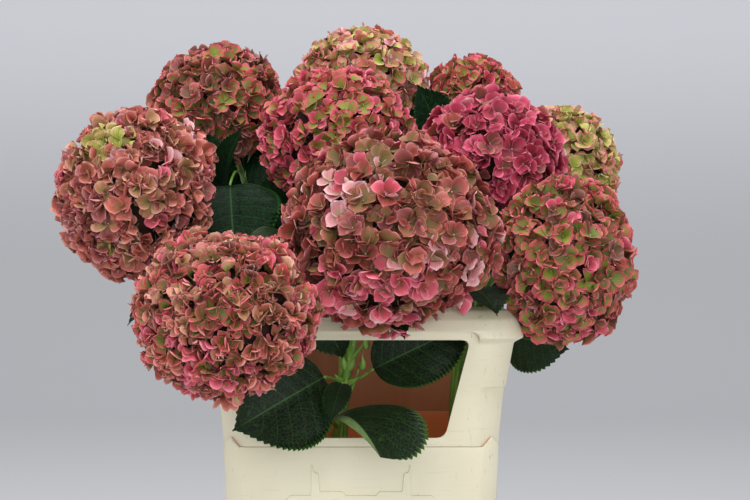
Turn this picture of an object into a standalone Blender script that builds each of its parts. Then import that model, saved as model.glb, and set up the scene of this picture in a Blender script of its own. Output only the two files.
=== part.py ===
"""A bunch of cut mophead hydrangeas standing in a flower bucket with a windowed collar.

Metres, +Z up. The origin is the middle of the bucket's flat underside. The collar's window
faces -Y. Each flower stem is one tapering limb that stands on the bucket's floor, leans
over the rim and ends at the back of its flower head. A flower head is a dome-shaped core
with florets fused on, and a leaf is a stalk and blade in one piece, beside its stem.
"""

import math
import random

import bmesh
import bpy
import numpy as np
from mathutils import Vector

GAP = 0.0003  # clearance between pieces that touch in life

# Bucket: outer size at the rim, and how it narrows towards the floor.
BUCKET_HALF_WIDTH = 0.145
BUCKET_HALF_DEPTH = 0.195
BUCKET_HEIGHT = 0.330
BUCKET_NARROWING = 0.012
BUCKET_WALL = 0.0035
BUCKET_FLOOR = 0.005
RIM_CORNER = 0.017  # size of the corner facet at the rim
FOOT_CORNER = 0.042  # and at the floor, where it is widest
FOOT_BEVEL = 0.005
CORNER_STEPS = 3
CORNER_BULGE = 0.35  # 0 is a flat facet, 1 a quarter circle

# Raised panel on the bucket's two short faces: half widths, and depths below the rim.
# Two prongs stand on its top edge, each with a foot towards the middle.
PANEL_HALF_WIDTH = 0.082
PANEL_TOP = 0.051
PANEL_BOTTOM = 0.262
PANEL_CORNER = 0.008
PANEL_NARROWING = 0.010
PANEL_NOTCH = (0.016, 0.019, 0.004)  # its half widths and height
PRONG_OUTSIDE = 0.052
PRONG_HEIGHT = 0.032
PRONG_FOOT = 0.009
PRONG_WIDTH = 0.002
PANEL_RELIEF = 0.0016

# Collar: (height above the bucket's rim, how far the wall stands outside the rim line).
COLLAR_OUTSIDE = (
    (0.000, 0.000),
    (0.052, 0.005),
    (0.104, 0.0146),
    (0.1085, 0.0155),
    (0.114, 0.0255),
    (0.122, 0.0235),
    (0.133, 0.0190),
    (0.142, 0.0095),
    (0.146, -0.0020),
)
COLLAR_INSIDE = (
    (0.1455, -0.0060),
    (0.1415, -0.0065),
    (0.1380, 0.0070),
    (0.1300, 0.0150),
    (0.1200, 0.0195),
    (0.1145, 0.0205),
    (0.1115, 0.0118),
    (0.1040, 0.0104),
    (0.0520, 0.0012),
    (0.0000, -0.0036),
)
COLLAR_CORNER_GROWTH = 0.6  # share of the flare by which the corner facet grows

# Window in the collar's front wall: heights above the bucket's rim, and half widths.
WINDOW_SILL = 0.0090
WINDOW_TOP = 0.1120
WINDOW_SILL_HALF_WIDTH = 0.0875
WINDOW_TOP_HALF_WIDTH = 0.1135
WINDOW_ROUNDING = 0.010
WINDOW_ROUNDING_STEPS = 3
WINDOW_CUT = 0.05  # how far the cut reaches either way from the rim line

# Flower heads: centre, the way the dome faces, and half sizes sideways, upwards and through.
HEADS = {
    "left": ((-0.2517, -0.050, 0.5987), (-0.75, -0.50, 0.40), (0.098, 0.098, 0.093)),
    "back_left": ((-0.1800, 0.120, 0.7050), (-0.35, -0.42, 0.84), (0.091, 0.090, 0.080)),
    "top": ((-0.0035, 0.155, 0.7390), (-0.05, 0.10, 1.00), (0.087, 0.086, 0.078)),
    "middle": ((-0.0290, -0.010, 0.6650), (-0.15, -0.50, 0.85), (0.092, 0.086, 0.078)),
    "back_right": ((0.1410, 0.215, 0.7260), (0.35, 0.35, 0.85), (0.067, 0.067, 0.061)),
    "middle_right": ((0.1455, -0.065, 0.6400), (0.30, -0.60, 0.75), (0.084, 0.080, 0.072)),
    "right_back": ((0.2440, 0.100, 0.6410), (0.80, 0.05, 0.55), (0.072, 0.077, 0.068)),
    "right": ((0.2145, -0.165, 0.5255), (0.75, -0.62, 0.05), (0.081, 0.096, 0.075)),
    "front": ((0.0298, -0.247, 0.5520), (0.00, -0.92, 0.40), (0.109, 0.105, 0.094)),
    "front_left": ((-0.1320, -0.304, 0.4720), (-0.32, -0.92, -0.18), (0.097, 0.084, 0.080)),
    "rear_left": ((-0.0600, 0.270, 0.6000), (-0.25, 0.85, 0.45), (0.085, 0.083, 0.078)),
    "rear_right": ((0.1150, 0.280, 0.5800), (0.35, 0.88, 0.30), (0.082, 0.080, 0.075)),
}
FLORETS_PER_HEAD = 18
DOME_EDGE = math.radians(112)  # how far round from the front the florets go
CORE_SHARE = 0.80  # core size as a share of the head's
CORE_BACK = 0.34  # where the core's flat back lies, as a share of the head's depth
FLORET_REACH = 0.34  # lobe length over the head's size
FLORET_NOTCH = 0.60  # notch radius over lobe length
FLORET_HEART = 0.88  # how deep the floret's middle lies
FLORET_ROOT = 0.50
FLORET_SEAT = 0.935  # how far out its ring lies
FLORET_LIFT = (-0.010, 0.045)  # how far a lobe's tip stands off the ring, over the head's size
FLORET_DIP = 0.02  # and how far a notch lies behind it
FLORET_JITTER = 0.05

# Stems: foot on the bucket's floor, and the point where the stem passes the collar's mouth.
STEM_FOOT_RADIUS = 0.0050
STEM_NECK_RADIUS = 0.0032
STEM_SIDES = 6
STEM_MOUTH_TURN = 0.35  # how far a stem's direction at the mouth has turned to its upper part
STEM_LOWER_PULL = 0.33  # lengths of the curves' handles over their spans
STEM_UPPER_PULL = 0.385
STEM_LOWER_SECTIONS = 4
STEM_UPPER_SECTIONS = 6
STEMS = {
    "left": ((-0.078, -0.018), (-0.131, -0.030, 0.480)),
    "back_left": ((-0.066, 0.051), (-0.112, 0.085, 0.480)),
    "top": ((-0.032, 0.048), (-0.016, 0.080, 0.480)),
    "middle": ((-0.034, -0.004), (-0.022, -0.008, 0.480)),
    "back_right": ((0.090, 0.082), (0.122, 0.120, 0.480)),
    "middle_right": ((0.108, -0.028), (0.124, -0.046, 0.480)),
    "right_back": ((0.096, 0.036), (0.131, 0.060, 0.480)),
    "right": ((0.118, -0.074), (0.131, -0.112, 0.484)),
    "front": ((-0.076, -0.090), (-0.001, -0.158, 0.470)),
    "front_left": ((-0.066, -0.116), (-0.110, -0.180, 0.492)),
    "rear_left": ((-0.078, 0.105), (-0.106, 0.166, 0.480)),
    "rear_right": ((0.088, 0.118), (0.116, 0.172, 0.482)),
}

# Leaves: stem, height on it, blade base, blade tip, half widths left and right of the
# midrib as seen from its upper side with the tip up, and the way that side faces.
LEAVES = {
    "sill_left": (
        "front", 0.390, (-0.038, -0.207, 0.404), (-0.131, -0.236, 0.351), (0.056, 0.050), (0.0, -1.0, 0.1)
    ),
    "window": (
        "front", 0.393, (0.017, -0.160, 0.409), (0.122, -0.160, 0.460), (0.040, 0.040), (0.1, -1.0, 0.2)
    ),
    "sill_middle": (
        "front", 0.345, (-0.033, -0.192, 0.357), (0.020, -0.290, 0.331), (0.068, 0.011), (0.27, -1.0, 0.82)
    ),
    "sill_small": (
        "front", 0.381, (-0.019, -0.207, 0.398), (-0.031, -0.250, 0.361), (0.014, 0.014), (0.0, -0.8, 0.6)
    ),
    "window_top": (
        "middle", 0.445, (-0.048, -0.100, 0.465), (-0.019, -0.122, 0.417), (0.026, 0.026), (0.1, -1.0, 0.25)
    ),
    "under_front": (
        "front", 0.470, (0.037, -0.200, 0.495), (0.0455, -0.237, 0.443), (0.018, 0.018), (0.2, -1.0, 0.3)
    ),
    "rim_right": (
        "right", 0.482, (0.117, -0.155, 0.4925), (0.139, -0.240, 0.4685), (0.028, 0.024), (0.1, -0.5, 0.9)
    ),
    "side_right": (
        "right_back", 0.505, (0.175, 0.095, 0.432), (0.248, 0.075, 0.416), (0.032, 0.042), (0.15, -1.0, 0.15)
    ),
    "gap_left": (
        "back_left", 0.605, (-0.152, -0.015, 0.610), (-0.140, -0.078, 0.515), (0.056, 0.050), (0.0, -0.9, 0.4)
    ),
    "gap_upright": (
        "back_left", 0.575, (-0.160, 0.040, 0.606), (-0.136, -0.008, 0.678), (0.015, 0.010), (-0.6, -0.8, 0.2)
    ),
    "behind_left": (
        "middle", 0.565, (-0.060, 0.045, 0.580), (-0.140, 0.060, 0.600), (0.036, 0.036), (0.0, -1.0, 0.2)
    ),
    "behind_gap": (
        "back_left", 0.622, (-0.136, 0.090, 0.650), (-0.070, 0.078, 0.620), (0.036, 0.040), (0.0, -1.0, 0.2)
    ),
    "deep_right": (
        "right_back", 0.560, (0.170, 0.045, 0.575), (0.155, -0.035, 0.535), (0.042, 0.042), (0.0, -1.0, 0.4)
    ),
    "deep_right_low": (
        "middle_right", 0.496, (0.095, -0.068, 0.505), (0.156, -0.083, 0.484), (0.027, 0.030), (0.1, -0.8, 0.6)
    ),
    "gap_behind": (
        "back_left", 0.600, (-0.150, 0.216, 0.612), (-0.160, 0.222, 0.700), (0.034, 0.034), (0.0, -1.0, 0.1)
    ),
    "top_gap": (
        "back_right", 0.640, (0.100, 0.155, 0.665), (0.072, 0.115, 0.735), (0.028, 0.028), (0.3, -1.0, 0.2)
    ),
    "right_gap": (
        "middle_right", 0.515, (0.105, -0.115, 0.535), (0.155, -0.155, 0.582), (0.026, 0.026), (0.2, -1.0, 0.3)
    ),
    "front_gap": (
        "middle", 0.530, (-0.065, -0.090, 0.545), (-0.110, -0.165, 0.530), (0.034, 0.034), (-0.1, -0.5, 0.9)
    ),
    "low_left": (
        "left", 0.490, (-0.175, -0.030, 0.505), (-0.265, -0.050, 0.450), (0.040, 0.040), (-0.3, -0.4, 0.9)
    ),
    "side_left": (
        "left", 0.500, (-0.170, 0.015, 0.505), (-0.240, 0.080, 0.450), (0.038, 0.038), (-0.3, 0.3, 0.9)
    ),
    "left_rear": (
        "left", 0.535, (-0.205, 0.010, 0.550), (-0.250, 0.090, 0.560), (0.036, 0.036), (-0.3, 0.1, 0.9)
    ),
    "left_high": (
        "back_left", 0.605, (-0.190, 0.070, 0.608), (-0.266, 0.045, 0.612), (0.030, 0.030), (-0.2, 0.1, 1.0)
    ),
    "rear_side_left": (
        "back_left", 0.520, (-0.150, 0.150, 0.540), (-0.220, 0.220, 0.515), (0.040, 0.040), (-0.3, 0.3, 0.9)
    ),
    "rear_low_left": (
        "rear_left", 0.505, (-0.095, 0.225, 0.500), (-0.155, 0.295, 0.435), (0.040, 0.040), (-0.4, 0.6, 0.9)
    ),
    "rear_high_left": (
        "rear_left", 0.535, (-0.090, 0.195, 0.543), (-0.175, 0.225, 0.560), (0.036, 0.036), (-0.1, 0.4, 0.9)
    ),
    "rear_gap": (
        "top", 0.560, (0.025, 0.175, 0.595), (0.030, 0.215, 0.685), (0.034, 0.034), (0.0, 1.0, 0.1)
    ),
    "rear_middle": (
        "top", 0.500, (0.012, 0.165, 0.515), (0.030, 0.250, 0.480), (0.036, 0.036), (0.0, 0.5, 1.0)
    ),
    "rear_low_right": (
        "rear_right", 0.505, (0.105, 0.230, 0.500), (0.160, 0.300, 0.435), (0.040, 0.040), (0.4, 0.6, 0.9)
    ),
    "rear_side_right": (
        "right_back", 0.530, (0.185, 0.165, 0.540), (0.250, 0.225, 0.505), (0.038, 0.038), (0.3, 0.4, 0.9)
    ),
    "right_rear": (
        "back_right", 0.600, (0.140, 0.200, 0.605), (0.220, 0.225, 0.610), (0.031, 0.031), (0.2, 0.4, 0.9)
    ),
    "right_low": (
        "right_back", 0.500, (0.195, 0.050, 0.505), (0.290, 0.030, 0.470), (0.036, 0.036), (0.3, -0.2, 0.9)
    ),
    "right_high": (
        "right_back", 0.580, (0.225, 0.035, 0.580), (0.262, -0.045, 0.590), (0.034, 0.034), (0.3, -0.1, 0.9)
    ),
}
LEAF_STALK_RADIUS = 0.0016
LEAF_THICKNESS = 0.0022
STALK_SWING = 0.4  # how far a stalk goes straight out from its stem, over its length
STALK_RISE = 0.2  # and how far it rises
STALK_STEPS = 4
BLADE_STEPS = 9
BLADE_THINNING = 0.4
BLADE = {
    "fold": 0.22,  # how far the blade's edges lift, over its half width
    "arch": 0.10,  # how far the blade arches, over its length
    "widest": 0.42,
    "fullness": 0.6,  # smaller is fuller, towards the base
    "point": 0.8,  # how much slimmer the outline gets towards the tip
    "twist": 0.0,  # turn about its own line from base to tip
    "sweep": 0.0,  # how far the left edge is drawn forward, over its half width
    "droop": 0.0,  # how far it sags, over its half width squared
}
OWN_BLADES = {
    "sill_middle": {
        "fold": 0.0,
        "arch": 0.19,
        "widest": 0.51,
        "fullness": 0.70,
        "point": 0.1,
        "twist": 1.21,
        "sweep": 0.39,
        "droop": 2.8,
    },
}

# Colours as linear base colours, with a roughness each.
CREAM = ((0.76, 0.70, 0.52), 0.45)
STEM_GREEN = ((0.13, 0.25, 0.05), 0.5)
LEAF_GREEN = ((0.02, 0.07, 0.02), 0.45)
HEAD_COLOURS = {
    "left": (0.45, 0.17, 0.16),
    "back_left": (0.33, 0.16, 0.10),
    "top": (0.48, 0.22, 0.15),
    "middle": (0.55, 0.10, 0.10),
    "back_right": (0.45, 0.14, 0.08),
    "middle_right": (0.42, 0.06, 0.12),
    "right_back": (0.38, 0.32, 0.10),
    "right": (0.42, 0.15, 0.09),
    "front": (0.42, 0.13, 0.13),
    "front_left": (0.48, 0.17, 0.13),
    "rear_left": (0.45, 0.15, 0.14),
    "rear_right": (0.40, 0.17, 0.10),
}
PETAL_ROUGHNESS = 0.6


def clear_scene():
    for obj in list(bpy.data.objects):
        bpy.data.objects.remove(obj)


def plain_material(name, colour, roughness):
    made = bpy.data.materials.new(name)
    made.use_nodes = True
    shader = made.node_tree.nodes["Principled BSDF"]
    shader.inputs["Base Color"].default_value = (*colour, 1.0)
    shader.inputs["Roughness"].default_value = roughness
    return made


def add_object(name, verts, faces, material):
    """One closed mesh as a named object."""
    mesh = bpy.data.meshes.new(name)
    mesh.from_pydata([tuple(v) for v in verts], [], faces)
    mesh.validate()
    obj = bpy.data.objects.new(name, mesh)
    bpy.context.scene.collection.objects.link(obj)
    mesh.materials.append(material)
    return obj


def face_outwards(obj):
    bm = bmesh.new()
    bm.from_mesh(obj.data)
    bmesh.ops.recalc_face_normals(bm, faces=bm.faces)
    bm.to_mesh(obj.data)
    bm.free()


def loft(rings, closed_band=False):
    """Vertices and faces that join rings of equal length, with flat ends or as one closed band."""
    count = len(rings[0])
    verts = [p for ring in rings for p in ring]
    last = len(rings) if closed_band else len(rings) - 1
    faces = []
    for i in range(last):
        a = i * count
        b = ((i + 1) % len(rings)) * count
        for k in range(count):
            n = (k + 1) % count
            faces.append((a + k, a + n, b + n, b + k))
    if not closed_band:
        faces.append(tuple(reversed(range(count))))
        faces.append(tuple(range((len(rings) - 1) * count, len(rings) * count)))
    return verts, faces


def apply_boolean(target, operation, other=None, collection=None):
    """Applies one Boolean, then removes what it used."""
    step = target.modifiers.new("join", "BOOLEAN")
    step.operation = operation
    if collection is not None:
        step.operand_type = "COLLECTION"
        step.collection = collection
    else:
        step.object = other
    graph = bpy.context.evaluated_depsgraph_get()
    result = bpy.data.meshes.new_from_object(target.evaluated_get(graph))
    target.modifiers.clear()
    target.data = result
    used = list(collection.objects) if collection is not None else [other]
    for obj in used:
        bpy.data.objects.remove(obj)
    if collection is not None:
        bpy.data.collections.remove(collection)


# ---- bucket and collar ----


def corner_ring(half_width, half_depth, corner, z):
    """A rectangle with slightly bulged corner facets, anticlockwise from above."""
    points = []
    for quarter in range(4):
        sx = 1 if quarter in (0, 3) else -1
        sy = 1 if quarter in (0, 1) else -1
        cx, cy = sx * (half_width - corner), sy * (half_depth - corner)
        for step in range(CORNER_STEPS + 1):
            share = step / CORNER_STEPS
            angle = (quarter + share) * math.pi / 2
            start = quarter * math.pi / 2
            end = start + math.pi / 2
            flat_x = math.cos(start) * (1 - share) + math.cos(end) * share
            flat_y = math.sin(start) * (1 - share) + math.sin(end) * share
            x = flat_x + CORNER_BULGE * (math.cos(angle) - flat_x)
            y = flat_y + CORNER_BULGE * (math.sin(angle) - flat_y)
            points.append((cx + corner * x, cy + corner * y, z))
    return points


def bucket_ring(z, inset=0.0):
    """The bucket's outline at a height, or that outline moved inwards."""
    up = z / BUCKET_HEIGHT
    narrow = BUCKET_NARROWING * (1 - up)
    corner = RIM_CORNER + (FOOT_CORNER - RIM_CORNER) * (1 - up)
    return corner_ring(
        BUCKET_HALF_WIDTH - narrow - inset, BUCKET_HALF_DEPTH - narrow - inset, corner - inset / 2, z
    )


def raised_panel(front):
    """The stepped panel on a short face, as a plate whose back is inside the wall."""
    top = BUCKET_HEIGHT - PANEL_TOP
    bottom = BUCKET_HEIGHT - PANEL_BOTTOM
    prong_top = top + PRONG_HEIGHT
    prong_step = prong_top - PRONG_FOOT
    inside = PRONG_OUTSIDE - PRONG_FOOT
    notch_floor, notch_mouth, notch_height = PANEL_NOTCH
    low_half_width = PANEL_HALF_WIDTH - PANEL_NARROWING
    half = [
        (notch_floor, top),
        (notch_mouth, top + notch_height),
        (inside, top + notch_height),
        (inside + PRONG_WIDTH, prong_step),
        (PRONG_OUTSIDE - PRONG_WIDTH, prong_step + PRONG_WIDTH),
        (PRONG_OUTSIDE - PRONG_WIDTH / 2, prong_top),
        (PRONG_OUTSIDE, prong_top),
        (PRONG_OUTSIDE, top),
        (PANEL_HALF_WIDTH - PANEL_CORNER, top),
        (PANEL_HALF_WIDTH, top - PANEL_CORNER),
        (low_half_width, bottom + PANEL_CORNER),
        (low_half_width - PANEL_CORNER, bottom),
    ]
    outline = half + [(-x, z) for x, z in reversed(half)]
    rings = []
    for depth in (-BUCKET_WALL / 2, PANEL_RELIEF):
        ring = []
        for x, z in outline:
            wall = BUCKET_HALF_DEPTH - BUCKET_NARROWING * (1 - z / BUCKET_HEIGHT)
            ring.append((x, -(wall + depth) * front, z))
        rings.append(ring)
    return loft(rings)


def build_bucket(material):
    rings = [
        bucket_ring(0.0, FOOT_BEVEL * 0.6),
        bucket_ring(FOOT_BEVEL),
        bucket_ring(BUCKET_HEIGHT),
        bucket_ring(BUCKET_HEIGHT, BUCKET_WALL),
        bucket_ring(BUCKET_FLOOR, BUCKET_WALL),
    ]
    bucket = add_object("bucket", *loft(rings), material)
    face_outwards(bucket)
    panels = bpy.data.collections.new("panels")
    bpy.context.scene.collection.children.link(panels)
    for front in (1, -1):
        panel = add_object("panel", *raised_panel(front), material)
        face_outwards(panel)
        bpy.context.scene.collection.objects.unlink(panel)
        panels.objects.link(panel)
    apply_boolean(bucket, "UNION", collection=panels)


def window_cutter():
    """A rounded trapezium prism through the collar's front wall."""
    corners = [
        (-WINDOW_SILL_HALF_WIDTH, WINDOW_SILL),
        (WINDOW_SILL_HALF_WIDTH, WINDOW_SILL),
        (WINDOW_TOP_HALF_WIDTH, WINDOW_TOP),
        (-WINDOW_TOP_HALF_WIDTH, WINDOW_TOP),
    ]
    outline = []
    for i, corner in enumerate(corners):
        here = Vector(corner)
        before = (Vector(corners[i - 1]) - here).normalized() * WINDOW_ROUNDING
        after = (Vector(corners[(i + 1) % 4]) - here).normalized() * WINDOW_ROUNDING
        for step in range(WINDOW_ROUNDING_STEPS + 1):
            t = step / WINDOW_ROUNDING_STEPS
            outline.append(here + before * (1 - t) ** 2 + after * t**2)
    rings = [
        [(x, y, BUCKET_HEIGHT + z) for x, z in outline]
        for y in (-BUCKET_HALF_DEPTH - WINDOW_CUT, -BUCKET_HALF_DEPTH + WINDOW_CUT)
    ]
    return loft(rings)


def build_collar(material):
    rings = []
    for height, flare in (*COLLAR_OUTSIDE, *COLLAR_INSIDE):
        rings.append(
            corner_ring(
                BUCKET_HALF_WIDTH + flare,
                BUCKET_HALF_DEPTH + flare,
                RIM_CORNER + COLLAR_CORNER_GROWTH * flare,
                BUCKET_HEIGHT + GAP + height,
            )
        )
    collar = add_object("collar", *loft(rings, closed_band=True), material)
    face_outwards(collar)
    cutter = add_object("cutter", *window_cutter(), material)
    face_outwards(cutter)
    apply_boolean(collar, "DIFFERENCE", other=cutter)


# ---- flower heads ----


def head_frame(facing):
    """Sideways, upwards and outwards directions of a head that faces this way."""
    out = Vector(facing).normalized()
    side = Vector((0, 0, 1)).cross(out)
    if side.length < 1e-3:
        side = Vector((1, 0, 0))
    side.normalize()
    return np.array([side, out.cross(side), out])


def neck_of(name):
    """Where a stem ends, just behind its head's flat back."""
    centre, facing, half = HEADS[name]
    out = Vector(facing).normalized()
    return Vector(centre) - out * (CORE_BACK * half[2] + GAP)


def core_mesh(half):
    """The core of a head with these half sizes: an icosphere cut flat behind."""
    bm = bmesh.new()
    bmesh.ops.create_icosphere(bm, subdivisions=2, radius=1.0)
    bmesh.ops.scale(bm, vec=Vector(half) * CORE_SHARE, verts=bm.verts)
    back = Vector((0, 0, -CORE_BACK * half[2]))
    everything = bm.verts[:] + bm.edges[:] + bm.faces[:]
    cut = bmesh.ops.bisect_plane(bm, geom=everything, plane_co=back, plane_no=(0, 0, -1), clear_outer=True)
    rim = [e for e in cut["geom_cut"] if isinstance(e, bmesh.types.BMEdge)]
    bmesh.ops.contextual_create(bm, geom=rim)
    bmesh.ops.recalc_face_normals(bm, faces=bm.faces)
    verts = np.array([v.co for v in bm.verts])
    faces = [tuple(v.index for v in f.verts) for f in bm.faces]
    bm.free()
    return verts, faces


def floret_mesh(direction, half, spin, draw):
    """A four-lobed funnel on the dome, its root sunk in the core."""
    half = np.array(half)
    mean = float(half.mean())
    seat = direction * half
    normal = direction / half
    normal /= np.linalg.norm(normal)
    across = np.cross(normal, (0.3, 0.9, 0.1))
    across /= np.linalg.norm(across)
    along = np.cross(normal, across)
    points = [seat * FLORET_ROOT, seat * (FLORET_HEART + draw.uniform(-0.02, 0.02))]
    reach = FLORET_REACH * mean * draw.uniform(0.92, 1.05)
    for step in range(8):
        angle = spin + step * math.pi / 4
        lobe = step % 2 == 0
        radius = reach * (1.0 if lobe else FLORET_NOTCH)
        lift = mean * (draw.uniform(*FLORET_LIFT) if lobe else -FLORET_DIP)
        flat = seat * FLORET_SEAT + (across * math.cos(angle) + along * math.sin(angle)) * radius
        points.append(flat + normal * lift)
    faces = []
    for step in range(8):
        a, b = 2 + step, 2 + (step + 1) % 8
        faces.append((1, a, b))
        faces.append((0, b, a))
    return np.array(points), faces


def build_head(name, seed):
    centre, facing, half = HEADS[name]
    frame = head_frame(facing)
    draw = random.Random(seed)
    material = plain_material("petals_" + name, HEAD_COLOURS[name], PETAL_ROUGHNESS)
    verts, faces = core_mesh(half)
    head = add_object("head_" + name, verts @ frame + np.array(centre), faces, material)
    face_outwards(head)
    florets = bpy.data.collections.new("florets")
    bpy.context.scene.collection.children.link(florets)
    golden = math.pi * (3 - math.sqrt(5))
    for i in range(FLORETS_PER_HEAD):
        height = 1 - (1 - math.cos(DOME_EDGE)) * (i + 0.5) / FLORETS_PER_HEAD
        turn = i * golden + draw.uniform(-FLORET_JITTER, FLORET_JITTER)
        ring = math.sqrt(1 - height * height)
        direction = np.array([ring * math.cos(turn), ring * math.sin(turn), height])
        points, made = floret_mesh(direction, half, draw.uniform(0, math.pi / 2), draw)
        floret = add_object("floret", points @ frame + np.array(centre), made, material)
        face_outwards(floret)
        bpy.context.scene.collection.objects.unlink(floret)
        florets.objects.link(floret)
    apply_boolean(head, "UNION", collection=florets)


# ---- stems and leaves ----


def bezier(points, t):
    """The point at t on a cubic curve through its four control points."""
    a, b, c, d = points
    u = 1 - t
    return a * u**3 + b * 3 * u * u * t + c * 3 * u * t * t + d * t**3


def stem_curves(name):
    """Two cubic curves that join smoothly: foot to mouth of the collar, and on to the neck."""
    facing = Vector(HEADS[name][1]).normalized()
    neck = neck_of(name)
    foot_place, mouth_place = STEMS[name]
    foot = Vector((*foot_place, BUCKET_FLOOR + GAP))
    mouth = Vector(mouth_place)
    lower, upper = mouth - foot, neck - mouth
    through = lower.normalized().lerp(upper.normalized(), STEM_MOUTH_TURN).normalized()
    lower_pull, upper_pull = lower.length * STEM_LOWER_PULL, upper.length * STEM_UPPER_PULL
    return (
        (foot, foot + lower * STEM_LOWER_PULL, mouth - through * lower_pull, mouth),
        (mouth, mouth + through * upper_pull, neck - facing * upper_pull, neck),
    )


def stem_point(name, share):
    """The point on a stem's middle line, where share runs from 0 at the foot to 2 at the neck."""
    lower, upper = stem_curves(name)
    return bezier(lower, share) if share <= 1 else bezier(upper, share - 1)


def stem_radius(share):
    return STEM_FOOT_RADIUS + (STEM_NECK_RADIUS - STEM_FOOT_RADIUS) * share / 2


def tube_rings(path, radii, sides, end_direction):
    """Rings of points round a path. The first lies flat, and the last faces the end direction."""
    rings = []
    for i, point in enumerate(path):
        ahead = path[min(i + 1, len(path) - 1)] - path[max(i - 1, 0)]
        if i == 0:
            ahead = Vector((0, 0, 1))
        if i == len(path) - 1:
            ahead = end_direction
        ahead = ahead.normalized()
        side = ahead.cross(Vector((0.2, 1.0, 0.1))).normalized()
        other = ahead.cross(side)
        ring = []
        for k in range(sides):
            angle = 2 * math.pi * k / sides
            ring.append(point + (side * math.cos(angle) + other * math.sin(angle)) * radii[i])
        rings.append(ring)
    return rings


def stem_path(name):
    """Points and radii along a stem, from its foot to its neck."""
    shares = [i / STEM_LOWER_SECTIONS for i in range(STEM_LOWER_SECTIONS)]
    shares += [1 + i / STEM_UPPER_SECTIONS for i in range(STEM_UPPER_SECTIONS + 1)]
    return [stem_point(name, share) for share in shares], [stem_radius(share) for share in shares]


def build_stem(name, material):
    path, radii = stem_path(name)
    facing = Vector(HEADS[name][1]).normalized()
    stem = add_object("stem_" + name, *loft(tube_rings(path, radii, STEM_SIDES, facing)), material)
    face_outwards(stem)


def stem_at_height(name, height):
    """Middle, direction and radius of a stem where it first passes a height."""
    path, radii = stem_path(name)
    step = next(i for i in range(1, len(path)) if path[i].z >= height or i == len(path) - 1)
    below, above = path[step - 1], path[step]
    share = (height - below.z) / (above.z - below.z)
    return below.lerp(above, share), (above - below).normalized(), radii[step - 1]


def blade_outline(share, blade):
    """Ovate outline: broad rounded base, drawn out to a point."""
    bend = share ** (math.log(0.5) / math.log(blade["widest"]))
    return max(math.sin(math.pi * bend), 0.0) ** (blade["fullness"] + blade["point"] * share**4)


def build_leaf(name, material):
    stem, height, base, tip, half_widths, face = LEAVES[name]
    base, tip, face = Vector(base), Vector(tip), Vector(face).normalized()
    on_stem, grain, radius = stem_at_height(stem, height)
    along = tip - base
    side = along.cross(face).normalized()
    up = side.cross(along).normalized()
    towards = base - on_stem
    outward = (towards - grain * towards.dot(grain)).normalized()
    start = on_stem + outward * (radius + 2 * GAP)
    reach = (base - start).length
    bend = start + outward * STALK_SWING * reach + Vector((0, 0, STALK_RISE * reach))
    rings = []
    for i in range(STALK_STEPS):
        t = i / STALK_STEPS
        point = start * (1 - t) ** 2 + bend * 2 * t * (1 - t) + base * t * t
        ahead = outward if i == 0 else ((bend - start) * (1 - t) + (base - bend) * t).normalized()
        across = ahead.cross(up).normalized()
        raised = across.cross(ahead)
        r = LEAF_STALK_RADIUS
        rings.append([point - across * r, point + raised * r, point + across * r, point - raised * r])
    blade = {**BLADE, **OWN_BLADES.get(name, {})}
    for i in range(BLADE_STEPS + 1):
        share = i / BLADE_STEPS
        outline = blade_outline(share, blade)
        least = LEAF_STALK_RADIUS * (1.2 - share)
        left, right = (max(half * outline, least) for half in half_widths)
        spine = base + along * share + up * (blade["arch"] * along.length * 4 * share * (1 - share))
        turn = blade["twist"] * (share - 0.5)
        out = side * math.cos(turn) + up * math.sin(turn)
        lift = up * math.cos(turn) - side * math.sin(turn)
        thick = LEAF_THICKNESS / 2 * (1 - BLADE_THINNING * share)
        left_edge = spine - out * left + lift * blade["fold"] * left
        left_edge += along.normalized() * blade["sweep"] * left - Vector((0, 0, blade["droop"] * left * left))
        right_edge = spine + out * right + lift * blade["fold"] * right
        rings.append([left_edge, spine + lift * thick, right_edge, spine - lift * thick])
    leaf = add_object("leaf_" + name, *loft(rings), material)
    face_outwards(leaf)


def main():
    clear_scene()
    cream = plain_material("cream_plastic", *CREAM)
    green = plain_material("stem_green", *STEM_GREEN)
    dark_green = plain_material("leaf_green", *LEAF_GREEN)
    build_bucket(cream)
    build_collar(cream)
    for seed, name in enumerate(HEADS, start=1):
        build_head(name, seed)
        build_stem(name, green)
    for name in LEAVES:
        build_leaf(name, dark_green)


main()
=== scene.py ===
# A bunch of cut mophead hydrangeas in a cream flower bucket with a windowed collar.
# Metres, +Z up; the origin is the middle of the bucket's underside and the window faces -Y.

import math

import bpy
import numpy as np
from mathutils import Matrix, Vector


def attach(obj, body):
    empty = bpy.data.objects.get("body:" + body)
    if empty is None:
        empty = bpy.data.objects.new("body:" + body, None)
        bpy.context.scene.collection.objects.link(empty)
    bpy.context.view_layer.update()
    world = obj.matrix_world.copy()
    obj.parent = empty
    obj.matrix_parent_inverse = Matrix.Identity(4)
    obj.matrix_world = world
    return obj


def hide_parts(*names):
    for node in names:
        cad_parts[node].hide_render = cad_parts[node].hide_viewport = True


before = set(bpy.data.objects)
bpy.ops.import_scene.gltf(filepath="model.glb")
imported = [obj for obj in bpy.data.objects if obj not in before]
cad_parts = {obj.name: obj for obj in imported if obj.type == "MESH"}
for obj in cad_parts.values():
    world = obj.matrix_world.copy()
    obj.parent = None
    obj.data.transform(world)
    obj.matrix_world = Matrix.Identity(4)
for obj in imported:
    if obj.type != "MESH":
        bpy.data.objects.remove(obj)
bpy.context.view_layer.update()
print("frame loaded:", len(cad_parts), "nodes")


def paint(red, green, blue):  # screen colour 0..255 as linear base colour: ((c + 0.055) / 1.055) ^ 2.4
    screen = np.array([red, green, blue]) / 255
    low = screen / 12.92
    high = ((screen + 0.055) / 1.055) ** 2.4
    return (*np.where(screen < 0.04045, low, high).tolist(), 1.0)


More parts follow.
